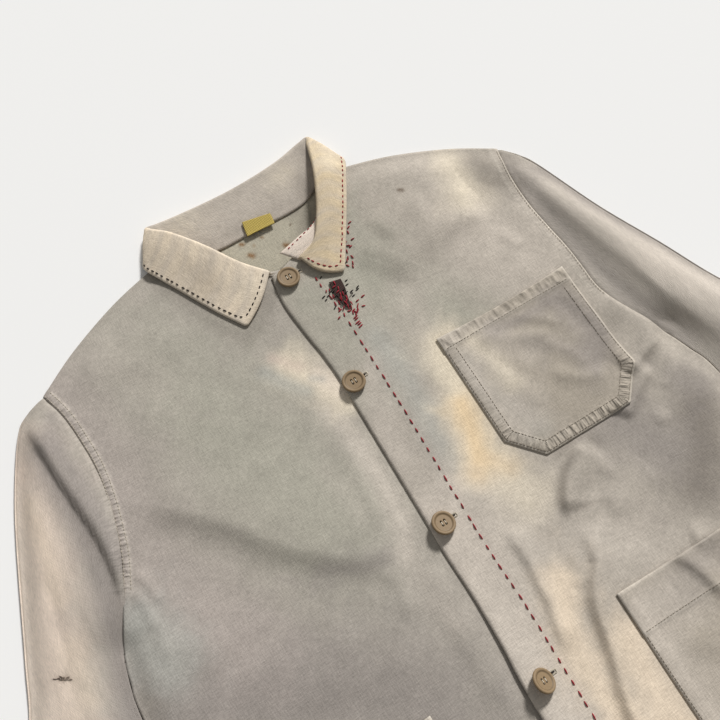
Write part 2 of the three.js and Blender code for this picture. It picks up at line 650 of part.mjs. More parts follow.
const disc = buttonGeometry();
for (let k = 0; k < BUTTON_COUNT; k += 1) {
  const y = k === 0 ? 0 : -FIRST_SPACING - (k - 1) * BUTTON_SPACING;
  const button = sew(`button_${k + 1}`, disc.clone(), MATERIALS.button);
  button.position.set(0, y, restingHeight(leftFront.upper, 0, y, BUTTON_REST) + SEAM_GAP);
}

// The woven label lies on the collar stand, across the back neck seam.
function labelHeight(x, y) {
  const share = Math.max(0, (y - BACK_SEAM_Y) / (BACK_ROLL_Y - BACK_SEAM_Y));
  return lerp(BACK_SEAM_Z, BACK_ROLL_Z + ROLL_RADIUS, share) + COLLAR_CLOTH / 2;
}

const LABEL = [[[-8.5, 74], [18.5, 69]], [[-10, 67], [18.5, 65]], [[-11, 59.5], [17.5, 58.5]]];
const DARN = [[[29, -23], [40, -25]], [[28, -33], [39, -35]], [[28.5, -43], [36.5, -44]],
  [[30.5, -52], [35, -53]]];
sew('neck_label', patchWall(LABEL, labelHeight, PATCH_CLOTH, PATCH_STEPS), MATERIALS.label);
sew('darn_patch', patchWall(DARN, leftFrontHeight, PATCH_CLOTH, PATCH_STEPS), MATERIALS.darn);

// The origin is at the middle of the whole outline, on the surface that the jacket lies on.
const outline = new THREE.Box3().setFromObject(jacket);
const centre = outline.getCenter(new THREE.Vector3());
jacket.position.set(-centre.x, -centre.y, -outline.min.z);

export default jacket;
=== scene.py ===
"""Patched work jacket laid flat: cloth shells, sewing and the studio round them."""

from functools import partial

import bpy
import numpy as np
from mathutils import Matrix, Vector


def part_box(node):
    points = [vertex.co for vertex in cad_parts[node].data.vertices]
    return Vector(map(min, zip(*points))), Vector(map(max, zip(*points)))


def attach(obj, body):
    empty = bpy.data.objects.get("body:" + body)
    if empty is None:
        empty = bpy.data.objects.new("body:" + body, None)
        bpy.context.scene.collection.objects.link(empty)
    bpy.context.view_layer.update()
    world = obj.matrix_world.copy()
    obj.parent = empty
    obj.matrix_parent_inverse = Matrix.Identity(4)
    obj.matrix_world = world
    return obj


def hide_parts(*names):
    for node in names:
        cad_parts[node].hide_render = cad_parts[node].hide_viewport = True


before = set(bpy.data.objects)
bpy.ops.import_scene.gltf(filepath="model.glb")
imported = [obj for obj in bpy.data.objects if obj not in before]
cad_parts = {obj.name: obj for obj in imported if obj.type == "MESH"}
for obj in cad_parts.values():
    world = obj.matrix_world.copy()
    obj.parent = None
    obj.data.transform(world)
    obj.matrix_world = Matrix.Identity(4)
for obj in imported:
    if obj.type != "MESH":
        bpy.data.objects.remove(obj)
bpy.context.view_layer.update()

bl_info = {
    "name": "Patched work jacket",
    "version": (1, 0, 0),
    "blender": (4, 5, 0),
    "location": "3D View > Sidebar > Jacket",
    "description": "Builds a faded work jacket with hand stitching, lying flat in a studio",
    "category": "Object",
}

# Plan points are in millimetres from the top button: +x to the viewer's right, which is the wearer's
# left, +y towards the collar, and z up from the surface that the jacket lies on.
MM = 0.001
CLOTH = 1.4
COLLAR_CLOTH = 2.0
PATCH_CLOTH = 1.0
WALL = 1.0
SEAM_GAP = 0.35
SLACK = 0.5
HEM_Y = -660.0
HEM_HALF = 287.0
UNDERARM = {"left": (265, -220), "right": (274, -213)}
SHOULDER_TIP = (240, 17)
NECK_POINT = (84, 79)
LAP_TOP_Y = 9

FRONT_BASE = 2 * CLOTH + SEAM_GAP
FRONT_LOFT = 6
SLEEVE_LOFT = 10
EDGE_ROLL = 15
SLEEVE_OUTER_ROLL = 14
SLEEVE_INNER_ROLL = 24
LOFT_FROM = 0.15
LAP_RISE = CLOTH + SEAM_GAP + SLACK
FOLD_FADE = 0.22

# Sides are the wearer's; the right is drawn mirrored.
SIDE_SEAM = {
    "left": [(HEM_HALF, HEM_Y), (285, -400), (284, -310), (280, -262), (273, -241), UNDERARM["left"]],
    "right": [(HEM_HALF, HEM_Y), (285, -400), (283, -265), (280, -238), UNDERARM["right"]],
}
ARMHOLE = {
    "left": [UNDERARM["left"], (255, -199), (246, -181), (239, -165), (235.5, -147), (235.5, -128),
             (235, -105), (232, -76), (230, -48), (232, -14), SHOULDER_TIP],
    "right": [UNDERARM["right"], (262, -190), (250, -164), (241, -142), (235, -119), (230, -94),
              (227, -66), (228, -40), (231.5, -10), SHOULDER_TIP],
}
SHOULDER = [NECK_POINT, (107, 75.5), (150, 63), (200, 41), SHOULDER_TIP]
LAP_EDGE = [(-13, HEM_Y), (-15.5, -430), (-12.2, -364), (-11, -324), (-12, -280), (-11, -240), (-9.5, -120),
            (-10.5, -84), (-14, -54), (-16.5, -20), (-13, LAP_TOP_Y)]
LAP_NECK = [(-13, LAP_TOP_Y), (4, 13), (24, 21), (46, 29), (66, 50), NECK_POINT]
UNDERLAP_EDGE = [(-18, HEM_Y), (-18, -300), (-18, LAP_TOP_Y)]
UNDERLAP_NECK = [(-18, LAP_TOP_Y), (4, 13), (24, 21), (46, 32), (66, 53), NECK_POINT]
BACK_NECK = [(-84, 79), (-74, 71), (-48, 67), (0, 66), (48, 67), (74, 71), NECK_POINT]

CUFF_WIDTH = 132
CUFF_TURN = np.radians(28)
SLEEVES = {
    "left": {
        "outer": [SHOULDER_TIP, (254, 0), (264, -20), (287, -84), (313, -143), (337, -200), (372, -262),
                  (414, -336), (512, -520)],
        "inner": [UNDERARM["left"], (273, -241), (280, -262), (284.5, -310), (292, -352), (303, -405),
                  (340, -492)],
        "turn": 1,
    },
    "right": {
        "outer": [SHOULDER_TIP, (256, 11), (271, -1), (291, -38), (311, -85), (344, -176), (362, -224),
                  (398, -292), (438, -366), (515, -508)],
        "inner": [UNDERARM["right"], (280, -238), (283, -265), (285.5, -330), (303, -405), (342, -488)],
        "turn": -1,
    },
}

# Folds: points, height in mm, and reach to the left and right hand of the line.
FRONT_FOLDS = {
    "right": [
        ([(-222, -100), (-198, -120), (-160, -153), (-131, -189), (-109, -216), (-70, -246), (-30, -266)],
         5.4, 60, 15),
        ([(-30, -262), (-26, -330), (-30, -430)], 1.8, 12, 14),
        ([(-255, -225), (-228, -232), (-196, -262)], 2.0, 24, 16),
        ([(-240, -400), (-170, -440), (-80, -540), (-60, -640)], 3.5, 40, 24),
        ([(-215, 30), (-180, 12), (-140, 4), (-96, 2)], 2.4, 26, 24),
        ([(-190, -30), (-150, -62), (-110, -92), (-70, -128)], 1.6, 40, 30),
        ([(-215, -262), (-160, -300), (-100, -322), (-60, -360)], 2.0, 42, 26),
    ],
    "left": [
        ([(78, -54), (105, -36), (142, -26), (195, -34)], 4.2, 42, 15),
        ([(216, 30), (205, 12), (206, -6), (224, -20)], -3.6, 10, 11),
        ([(102, -312), (97, -330), (93, -349), (77, -366), (69, -382), (63, -405), (57, -424), (48, -449),
          (42, -490), (40, -520)], 6.4, 30, 6.0),
        ([(146, -258), (129, -266), (115, -277), (105, -287), (98, -298), (94, -312)], 6.0, 24, 5.5),
        ([(146, -291), (126, -299), (108, -302), (86, -308)], -1.8, 12, 10),
        ([(206, -233), (226, -225), (244, -220), (262, -215)], 5.4, 18, 6),
        ([(178, -266), (196, -255), (214, -244), (232, -235)], 4.4, 14, 6),
        ([(200, -322), (182, -344), (176, -362), (171, -390)], 3.6, 16, 6),
        ([(266, -245), (252, -285), (226, -316), (196, -336), (173, -351), (166, -386)], -5.5, 24, 22),
        ([(70, -480), (78, -560), (66, -640)], 3, 26, 30),
        ([(232, -152), (241, -182), (254, -210), (266, -242)], 3.0, 6, 18),
        ([(166, -255), (176, -276), (184, -290), (187, -312)], -2.4, 14, 8),
        ([(90, -6), (120, 2), (150, -4)], 1.8, 18, 16),
        ([(120, -318), (150, -322), (186, -318)], 2.0, 22, 14),
    ],
}
SLEEVE_FOLDS = {
    "right": [
        ([(-270, 20), (-261, -10), (-256, -32), (-254, -59), (-251, -84), (-248, -108), (-247, -130),
          (-248, -150), (-252, -172), (-262, -196)], 6.4, 16, 4.2),
        ([(-420, -372), (-370, -392), (-318, -440)], 4, 16, 24),
        ([(-392, -300), (-345, -318), (-300, -352)], 3.5, 14, 22),
        ([(-276, -2), (-284, -40), (-294, -96), (-306, -150), (-326, -230)], 1.2, 12, 16),
        ([(-300, -120), (-306, -160), (-316, -200), (-322, -236)], -1.4, 6, 7),
    ],
    "left": [
        ([(238, 6), (236, -50), (241, -100), (245, -140), (254, -178), (270, -215),
          (284, -262)], -2.0, 9, 10),
        ([(412, -385), (365, -402), (312, -452)], 4, 24, 16),
        ([(384, -312), (345, -326), (300, -362)], 3.5, 22, 14),
        ([(247, -10), (252, -50), (260, -92), (273, -148), (291, -210), (312, -266)], 3.0, 22, 8),
        ([(243, 4), (247, -6), (251, -20)], -1.6, 4, 5),
    ],
}
# Small creases that only the shells carry.
FRONT_CREASES = {
    "right": [
        ([(-236, -160), (-232, -176), (-229, -196)], 1.2, 5, 5),
        ([(-246, -172), (-241, -190), (-243, -214)], 1.2, 5, 6),
        ([(-40, -300), (-36, -350), (-40, -400)], 0.7, 6, 7),
        ([(-70, -262), (-58, -280), (-62, -310)], 0.9, 8, 6),
        ([(-32, -150), (-40, -196), (-44, -240)], 0.7, 5, 6),
        ([(-24, -180), (-30, -226), (-28, -262)], 0.6, 4, 5),
    ],
    "left": [
        ([(150, -257), (153, -266), (158, -276)], -1.6, 4, 6),
        ([(112, -262), (128, -260), (144, -262)], -1.5, 5, 5),
        ([(42, -284), (44, -318), (41, -340), (40, -356), (34, -378), (30, -400)], 3.2, 14, 4.5),
        ([(58, -305), (60, -340), (56, -372)], 0.7, 6, 5),
        ([(176, 2), (182, -20), (176, -44)], 0.8, 9, 9),
        ([(186, -60), (194, -70), (200, -84)], 1.0, 7, 6),
        ([(204, -8), (212, -2), (224, -8)], -1.0, 4, 5),
        ([(213, 20), (219, 5), (224, -12)], -1.4, 5, 5),
        ([(226, -262), (240, -256), (256, -262)], 1.2, 8, 6),
        ([(200, -276), (216, -284), (230, -300)], 1.4, 9, 7),
        ([(80, -330), (74, -346), (62, -356)], 1.0, 8, 5),
    ],
}
ARMHOLE_BAND = 8.0
BAND_SHOWN = {"left": (-172, -150), "right": (-180, -162)}
BAND_GATHERS = {"left": 0.3, "right": 0.85}
BAND_ROWS = {"left": (1.6,), "right": (1.6, 7.2)}
BAND_RISE = 0.6
GATHER_SQUASH = 0.3

# Spans in mm that the steps of the shells divide, the sleeve's wider step, and points in half its ring.
PANEL_TALL, PANEL_WIDE = 690, 300
BACK_TALL, BACK_WIDE = 286, 198
SLEEVE_SPAN = 640
SLEEVE_STEP = 1.9
SLEEVE_HALF_RING = 84
# Lengths in mm that the sleeve's threads and the gathered seams are measured over.
SLEEVE_LENGTH = 600
FRONT_SEAM_RUN, SLEEVE_SEAM_RUN, POCKET_SEAM_RUN = 300, 260, 480
# The sleeve's wall and rounded edges, how far its head goes under the armhole, and its fall to the cuff.
SLEEVE_WALL = 1.2
SLEEVE_EDGE_ROUND = 2.5
SLEEVE_HEAD_UNDER = 2.4
SLEEVE_INSIDE_Z = 0.3
CUFF_FALL, CUFF_FALL_FROM = 0.85, 0.82

# Depth of the armhole seam, of the lap's edge and of the tuck beside the sleeve head; curl of the lower lap.
SEAM_SINK = 0.7
LAP_SINK = 0.8
SLEEVE_TUCK = 1.2
LAP_CURL = 1.8
LAP_CURL_FROM, LAP_CURL_TO = 290, 400
# Across the lap: where the folds of the front below die out, and where the front above comes down.
UNDERLAP_FADE, LAP_FADE = (-30, 4), (24, 62)

SIDE_POCKET = {"gathers": 0.2, "rows": (2.0,), "top": -378, "bottom": -568, "cut_x": 30, "cut_y": 34,
               "hem": 37, "sag": 1.5}
POCKETS = {
    "chest_pocket": {"gathers": 1.4, "rows": (2.0, 10.5), "top": -118.5, "bottom": -255, "cut_x": 25,
                     "cut_y": 28, "hem": 14, "sag": 2.5, "left": 83, "right": 218.5, "front": "left"},
    "pocket_left": {**SIDE_POCKET, "left": 88.5, "right": 258.5, "front": "left"},
    "pocket_right": {**SIDE_POCKET, "left": -258.5, "right": -88.5, "front": "right"},
}
POCKET_FOLDS = {
    "chest_pocket": [
        ([(112, -134), (140, -152), (176, -172)], 1.6, 7, 9),
        ([(196, -140), (202, -184)], -1.2, 7, 7),
        ([(150, -196), (172, -214), (196, -222)], 1.3, 7, 7),
        ([(104, -150), (118, -186), (130, -220)], 1.0, 7, 9),
        ([(150, -136), (172, -150), (186, -166)], 1.2, 6, 6),
        ([(160, -168), (176, -190), (184, -212)], 1.0, 6, 7),
    ],
    "pocket_left": [
        ([(140, -366), (151, -382), (158, -398), (166, -432)], 3.0, 10, 5),
        ([(100, -430), (150, -452), (210, -460)], 1.4, 16, 12),
    ],
    "pocket_right": [([(-100, -430), (-150, -452), (-210, -460)], 1.4, 16, 12)],
}

ROLL_RADIUS = 2.2
LEAF_SWELL = 1.5
BACK_SEAM_Y, BACK_ROLL_Y = 61.5, 107
BACK_SEAM_Z = CLOTH + SEAM_GAP + COLLAR_CLOTH / 2
BACK_ROLL_Z = 5.8
FALL_Z = COLLAR_CLOTH / 2 + 0.15
LABEL = [((-8.5, 74), (18.5, 69)), ((-10, 67), (18.5, 65)), ((-11, 59.5), (17.5, 58.5))]
DARN = [((29, -23), (40, -25)), ((28, -33), (39, -35)), ((28.5, -43), (36.5, -44)), ((30.5, -52), (35, -53))]
DARN_LOW, DARN_HIGH = (28, -53), (40, -20)

BACK_LOW, BACK_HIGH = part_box("back_panel")
DATUM = np.array([(BACK_LOW[0] + BACK_HIGH[0]) / 2, BACK_LOW[1] - HEM_Y * MM, 0.0])


def linear(code):
    """Linear colour from an sRGB hex code."""
    value = np.array([int(code[k:k + 2], 16) / 255 for k in (1, 3, 5)])
    value = np.where(value <= 0.04045, value / 12.92, ((value + 0.055) / 1.055) ** 2.4)
    return tuple(float(c) for c in value)


def smooth(x, low, high):
    """Smooth step from 0 at low to 1 at high."""
    t = np.clip((x - low) / (high - low), 0, 1)
    return t * t * (3 - 2 * t)


def lerp(a, b, t):
    """From a to b by the share t."""
    return a + (b - a) * t


def bell(distance, reach):
    """1 on a line, falling off on both sides as exp(-(distance / reach) squared)."""
    return np.exp(-((distance / reach) ** 2))


def unit(v):
    """Vectors scaled to length 1."""
    return v / np.maximum(np.linalg.norm(v, axis=-1, keepdims=True), 1e-9)


def running(points, axis):
    """Length run along one axis of a grid of points, from its first row or column."""
    first = points[:1] if axis == 0 else points[:, :1]
    return np.cumsum(np.linalg.norm(np.diff(points, axis=axis, prepend=first), axis=-1), axis)


def read_line(line, length, at):
    """Points of a line at given distances, from the length run at each of its points."""
    return np.stack([np.interp(at, length, line[:, k]) for k in range(line.shape[1])], -1)


def curve(points, count):
    """Catmull-Rom curve through points, read at equal steps or at given shares of its length."""
    p = np.asarray(points, float)
    ends = np.vstack([p[:1], p, p[-1:]])
    t = np.linspace(0, len(p) - 1, 24 * (len(p) - 1) + 1)
    k = np.minimum(t.astype(int), len(p) - 2)
    u = (t - k)[:, None]
    a, b, c, d = (ends[k + i] for i in range(4))
    dense = 0.5 * (2 * b + (c - a) * u + (2 * a - 5 * b + 4 * c - d) * u**2 + (3 * b - a - 3 * c + d) * u**3)
    length = running(dense, 0)
    at = np.linspace(0, length[-1], count) if np.isscalar(count) else np.asarray(count) * length[-1]
    return read_line(dense, length, at)


def near(line, x, y):
    """Distance to the nearest place on a line, its side (left is +1) and its share of the length."""
    best = np.full(np.shape(x), np.inf)
    side = np.ones(np.shape(x))
    along = np.zeros(np.shape(x))
    steps = len(line) - 1
    for k in range(steps):
        ax, ay = line[k]
        dx, dy = line[k + 1] - line[k]
        t = np.clip(((x - ax) * dx + (y - ay) * dy) / (dx * dx + dy * dy), 0, 1)
        d = np.hypot(x - ax - t * dx, y - ay - t * dy)
        closer = d < best
        best = np.where(closer, d, best)
        side = np.where(closer, np.where(dx * (y - ay) - dy * (x - ax) < 0, -1, 1), side)
        along = np.where(closer, (k + t) / steps, along)
    return best, side, along


def relief(folds, x, y):
    """Sum of ridges and troughs: height times exp(-(distance/reach) squared), fading out at both ends."""
    total = np.zeros(np.shape(x))
    for points, height, left, right in folds:
        distance, side, along = near(curve(points, 17), x, y)
        fade = smooth(along, 0, FOLD_FADE) * (1 - smooth(along, 1 - FOLD_FADE, 1))
        total += height * fade * bell(distance, np.where(side > 0, left, right))
    return total


def edge_rise(distance, reach):
    """Share of its full height that cloth has at a distance from an edge where it rolls down."""
    return 1 - bell(distance, reach)


SIDE_LINE = {side: curve(points, 28) for side, points in SIDE_SEAM.items()}
ARMHOLE_LINE = {side: curve(points, 48) for side, points in ARMHOLE.items()}
SHOULDER_LINE = curve(SHOULDER, 20)
LAP_LINE = curve(LAP_EDGE, 40)


def front_height(folds, x, y):
    """A front panel's upper face: loft and folds, rolled down at side seam, shoulder and hem."""
    side = np.where(x < 0, near(SIDE_LINE["right"], -x, y)[0], near(SIDE_LINE["left"], x, y)[0])
    edge = np.minimum(side, near(SHOULDER_LINE, np.abs(x), y)[0])
    edge = np.minimum(edge, 2 * np.maximum(y - HEM_Y, 0))
    return FRONT_BASE + np.maximum(0, edge_rise(edge, EDGE_ROLL) * (FRONT_LOFT + relief(folds, x, y)))


def right_front_height(x, y):
    """The wearer's right front, whose folds die out under the lap."""
    folded = front_height(FRONT_FOLDS["right"] + FRONT_CREASES["right"], x, y)
    return lerp(folded, front_height([], x, y), smooth(x, *UNDERLAP_FADE))


def left_front_height(x, y):
    """The wearer's left front, which lies on the other along the lap."""
    own = front_height(FRONT_FOLDS["left"] + FRONT_CREASES["left"], x, y)
    return np.maximum(own, right_front_height(x, y)) + LAP_RISE * (1 - smooth(x, *LAP_FADE))


FRONT_HEIGHT = {"right": right_front_height, "left": left_front_height}


def grid_faces(rows, columns, start, wrap):
    """Quads of a grid of points, row by row; wrap joins the last column to the first."""
    i = (np.arange(rows - 1) * columns)[:, None]
    j = np.arange(columns if wrap else columns - 1)[None, :]
    k = (j + 1) % columns
    return start + np.stack([i + j, i + k, i + columns + k, i + columns + j], -1).reshape(-1, 4)


def strip_faces(upper, lower, closed):
    """Quads between two lines of points of the same length."""
    a, b = np.asarray(upper), np.asarray(lower)
    c, d = (np.roll(a, -1), np.roll(b, -1)) if closed else (a[1:], b[1:])
    if not closed:
        a, b = a[:-1], b[:-1]
    return np.stack([c, a, b, d], -1)


def make_mesh(name, points, faces, fields):
    """A mesh piece from points in mm, quads, and named values at its points."""
    p = points.reshape(-1, 3)
    a, b, c, d = (p[faces[:, k]] for k in range(4))
    volume = np.einsum("ij,ij->", a, np.cross(b, c)) + np.einsum("ij,ij->", a, np.cross(c, d))
    faces = faces[:, ::-1] if volume < 0 else faces
    mesh = bpy.data.meshes.new(name)
    mesh.vertices.add(len(p))
    mesh.vertices.foreach_set("co", (p * MM + DATUM).astype(np.float32).ravel())
    mesh.loops.add(faces.size)
    mesh.loops.foreach_set("vertex_index", faces.astype(np.int32).ravel())
    mesh.polygons.add(len(faces))
    mesh.polygons.foreach_set("loop_start", np.arange(0, faces.size, 4, dtype=np.int32))
    mesh.update(calc_edges=True)
    mesh.shade_smooth()
    for key, value in fields.items():
        kind, part = ("FLOAT_COLOR", "color") if value.shape[-1] == 4 else ("FLOAT_VECTOR", "vector")
        field = mesh.attributes.new(key, kind, "POINT")
        field.data.foreach_set(part, value.astype(np.float32).ravel())
    piece = bpy.data.objects.new(name, mesh)
    bpy.context.scene.collection.objects.link(piece)
    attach(piece, "root")
    return piece


def cloth_shell(name, upper, lower, fields, wrap=False):
    """A closed thin wall between two grids of points; a wrapped one is a tube with open ends."""
    rows, columns = upper.shape[:2]
    count = rows * columns
    at = np.arange(count).reshape(rows, columns)
    faces = [grid_faces(rows, columns, 0, wrap), grid_faces(rows, columns, count, wrap)[:, ::-1]]
    for line, closed, turn in ((at[0], wrap, 1), (at[-1], wrap, -1)):
        faces.append(strip_faces(line, line + count, closed)[:, ::turn])
    if not wrap:
        for line, turn in ((at[:, 0], -1), (at[:, -1], 1)):
            faces.append(strip_faces(line, line + count, False)[:, ::turn])
    points = np.concatenate([upper.reshape(-1, 3), lower.reshape(-1, 3)])
    doubled = {}
    for key, value in fields.items():
        flat = value.reshape(count, -1)
        doubled[key] = np.concatenate([flat, flat])
    return make_mesh(name, points, np.concatenate(faces), doubled)


def offset_grid(grid, distance, wrap=False):
    """Each point of a grid moved along the surface normal."""
    across = np.roll(grid, -1, 1) - np.roll(grid, 1, 1) if wrap else np.gradient(grid, axis=1)
    return grid + distance * unit(np.cross(np.gradient(grid, axis=0), across))


# Cloth colour

TONES = {
    "grey": "#aca499", "chest": "#b2a99d", "green": "#a8a596", "mauve": "#958d87", "lilac": "#b1a69e",
    "dark": "#827a71", "pale": "#c2b8ac", "bone": "#cfc4b7", "cream": "#e2d5be", "yellow": "#e9cda4",
    "peach": "#dfcdb6", "tan": "#d8c6b6", "blue": "#a9aaa3", "pink": "#d3bfb0", "collar": "#e6d5bd",
    "straw": "#cfbb99", "stand": "#bdb3a7", "band": "#ecdccd", "inside": "#b3ac9a", "rust": "#7c5424",
    "brown": "#5d4a38", "edge": "#d2c9bb", "milk": "#e6d7c7", "pocket": "#aca294", "label": "#d6bd66",
    "darn": "#4b3b36",
}


def waver(x, y, size):
    """A gentle unevenness between -1 and 1 from crossed sines, with waves of about the given size."""
    u, v = x / size, y / size
    return 0.5 * np.sin(2.1 * u + 1.7 * np.sin(1.3 * v)) + 0.5 * np.sin(1.9 * v + 1.3 * np.sin(1.7 * u + 0.6))


def plain(tone, shape):
    """One tone over a whole grid."""
    return np.broadcast_to(np.array((*linear(TONES[tone]), 1.0)), (*shape, 4)).copy()


def blend(colour, tone, share):
    """Draws a grid's colours towards a tone by a share at each point."""
    colour[..., :3] += share[..., None] * (np.array(linear(TONES[tone])) - colour[..., :3])


def dyed_and_shaded(base, strokes, x, y):
    """Cloth colour at plan points: a base tone with soft strokes of other tones along lines; some dark and
    mauve strokes are painted shade.
    """
    colour = plain(base, np.shape(x))
    shift = 1 + 0.22 * waver(x, y, 17) + 0.12 * waver(x + 40, y - 90, 6)
    for tone, strength, reach, points in strokes:
        line = curve(points, 13) if len(points) > 1 else np.array([points[0], np.add(points[0], (0.1, 0))])
        blend(colour, tone, strength * bell(near(line, x, y)[0] * shift, reach))
    return colour


# Strokes: tone, strength, reach in mm and the points of the line.
FRONT_STROKES = {
    "right": [
        ("green", 0.7, 80, [(-140, -40), (-100, -130), (-80, -200)]),
        ("mauve", 0.75, 62, [(-240, -285), (-180, -312), (-100, -360), (-90, -460)]),
        ("mauve", 0.45, 32, [(-224, -284), (-190, -286), (-155, -290)]),
        ("lilac", 0.75, 46, [(-232, 10), (-214, -70), (-226, -150), (-190, -250)]),
        ("blue", 0.9, 24, [(-252, -206), (-243, -236)]),
        ("pale", 0.35, 18, [(-248, -212), (-240, -236)]),
        ("pale", 0.35, 26, [(-168, 2), (-148, -28)]),
        ("pale", 0.5, 13, [(-38, -284), (-34, -330)]),
        ("bone", 0.65, 12, [(-30, -120), (-24, -180), (-28, -236), (-38, -262)]),
        ("pale", 0.2, 9, [(-60, -170), (-54, -216)]),
        # Painted shade: mauve along the steep lower side of the diagonal chest fold.
        ("mauve", 0.5, 9, [(-104, -240), (-76, -254), (-56, -258)]),
        ("cream", 0.95, 16, [(-40, -72), (-22, -106), (-14, -122)]),
        ("milk", 0.6, 11, [(-24, -92), (-12, -112)]),
        ("blue", 0.5, 7, [(-62, -66), (-50, -86), (-38, -100)]),
        ("pink", 0.5, 6, [(-50, -58), (-34, -78)]),
        ("blue", 0.45, 4, [(-30, -92), (-22, -98)]),
        # Painted shadow of the collar's left leaf, along its outer edge and front end.
        ("dark", 0.35, 9, [(-104, 60), (-84, 16), (-62, -26), (-38, -20), (-20, -2)]),
    ],
    "left": [
        ("green", 0.8, 40, [(56, 12), (64, -40), (90, -90), (104, -112)]),
        ("green", 0.6, 26, [(6, -30), (10, -90), (10, -130)]),
        ("pale", 0.6, 22, [(88, -66), (78, -100), (84, -124)]),
        ("pale", 0.7, 15, [(20, -112), (6, -150), (-4, -190)]),
        ("bone", 0.55, 18, [(158, -20), (168, -42)]),
        ("bone", 0.5, 12, [(222, -48), (229, -72), (232, -100)]),
        ("blue", 0.45, 14, [(38, -90), (42, -140), (36, -200), (40, -240)]),
        ("cream", 0.9, 19, [(186, 22), (183, -18)]),
        ("bone", 0.6, 22, [(184, -40), (199, -74), (204, -104)]),
        ("pale", 0.5, 22, [(160, 50), (168, 16)]),
        ("pale", 0.4, 18, [(140, -70), (166, -104)]),
        ("bone", 0.35, 22, [(158, -48), (176, -100)]),
        ("cream", 1.0, 18, [(84, -124), (77, -156), (68, -196), (63, -240), (70, -282)]),
        ("cream", 0.45, 14, [(66, -244), (86, -276)]),
        ("cream", 0.7, 10, [(54, -226), (40, -240)]),
        ("yellow", 0.8, 12, [(70, -180), (64, -206), (56, -228), (48, -238)]),
        ("yellow", 0.5, 9, [(60, -230), (74, -248)]),
        # Painted shade in the hooked crease below the chest pocket.
        ("dark", 0.5, 4.5, [(128, -267), (112, -275), (100, -286), (92, -302)]),
        ("dark", 0.35, 6, [(92, -302), (78, -307), (62, -309)]),
        # Painted shade along the fold below the chest pocket's right corner.
        ("dark", 0.3, 6, [(172, -262), (190, -256), (210, -246)]),
        # Painted shade in the trough by the shoulder.
        ("dark", 0.35, 5, [(206, -4), (214, -14), (222, -20)]),
        ("bone", 0.85, 35, [(6, -252), (2, -310), (4, -370), (14, -460), (16, -560), (10, -650)]),
        ("pale", 0.55, 40, [(60, -290), (104, -332), (146, -362)]),
        ("peach", 0.9, 17, [(58, -346), (46, -370), (36, -398), (36, -440), (48, -490), (60, -560)]),
        ("peach", 0.9, 24, [(76, -412), (72, -468), (80, -560)]),
        # Darker patch along the deep trough towards the side: partly darker cloth, partly painted shade.
        ("dark", 0.85, 24, [(246, -286), (224, -320), (200, -340)]),
        # Painted shade in the crease under the chest pocket.
        ("dark", 0.4, 7, [(118, -258), (136, -258), (152, -266)]),
        # Mauve along the trough below the chest pocket: partly mauve cloth, partly painted shade.
        ("mauve", 0.7, 32, [(178, -262), (196, -300)]),
        # Painted shade of the fold on the body beside the lower armhole.
        ("mauve", 0.55, 17, [(244, -262), (258, -272)]),
        # Painted shade in the hollow by the shoulder.
        ("dark", 0.5, 14, [(212, 18), (222, -10)]),
        ("brown", 0.8, 1.6, [(133, 25), (136, 23)]),
    ],
}
SLEEVE_STROKES = {
    "right": [
        ("tan", 0.97, 37, [(-288, -38), (-302, -110), (-326, -172), (-350, -232), (-400, -310),
                           (-480, -440)]),
        ("milk", 0.85, 17, [(-302, -50), (-318, -112), (-338, -170), (-356, -226), (-410, -320)]),
        ("peach", 0.4, 9, [(-286, -66), (-292, -110), (-300, -150)]),
        ("peach", 0.4, 12, [(-306, -190), (-312, -230)]),
        # Painted shadow of the sleeve head's fold, on the outer side of its edge.
        ("mauve", 0.85, 15, [(-262, -30), (-259, -90), (-261, -150), (-273, -200), (-287, -250),
                             (-298, -330)]),
        ("mauve", 0.8, 10, [(-248, -36), (-244, -80), (-241, -120), (-243, -150)]),
        # Painted shade in the folds of the sleeve cap by the armhole.
        ("mauve", 0.6, 9, [(-240, -6), (-247, -24)]),
        ("brown", 0.55, 1.5, [(-326, -203), (-322, -206), (-318, -205)]),
        ("brown", 0.4, 1.2, [(-322, -207), (-317, -209)]),
    ],
    "left": [
        ("pale", 0.9, 40, [(276, -40), (298, -130), (332, -220), (410, -350), (480, -490)]),
        ("bone", 0.5, 17, [(290, -150), (312, -208), (346, -266)]),
        # Painted shade along the sleeve's outer edge.
        ("mauve", 0.6, 9, [(264, -24), (276, -58), (289, -94), (315, -145), (340, -194), (390, -274)]),
        # Painted shade in the valley beside the armhole and in the small trough at its top.
        ("mauve", 0.5, 11, [(238, -10), (240, -60), (246, -120), (256, -176), (274, -232)]),
        ("dark", 0.45, 6, [(242, 3), (240, -10), (237, -30)]),
    ],
}
POCKET_STROKES = {
    "chest_pocket": [
        ("blue", 0.35, 14, [(98, -150), (102, -190), (112, -230)]),
        ("pale", 0.8, 20, [(104, -132), (108, -178), (112, -214)]),
        ("cream", 0.5, 11, [(108, -136), (116, -160), (118, -186)]),
        ("bone", 0.5, 12, [(130, -150), (146, -172)]),
        ("bone", 0.15, 12, [(186, -216), (204, -224)]),
        ("mauve", 0.75, 20, [(202, -154), (208, -184), (198, -200)]),
        # Painted shadow under the turned hem.
        ("mauve", 0.6, 8, [(128, -138), (160, -142), (196, -140)]),
        ("mauve", 0.4, 9, [(150, -160), (176, -186), (186, -214)]),
        ("bone", 0.35, 6, [(90, -150), (96, -200), (104, -232)]),
    ],
    # The mauve stroke of the left pocket is painted shade of its fold.
    "pocket_left": [("pale", 0.8, 32, [(104, -400), (124, -402)]), ("mauve", 0.5, 20, [(152, -392),
                                                                                       (176, -386)]),
                    ("bone", 0.6, 24, [(96, -430), (100, -520)])],
    "pocket_right": [("mauve", 0.4, 50, [(-150, -420), (-200, -500)])],
}
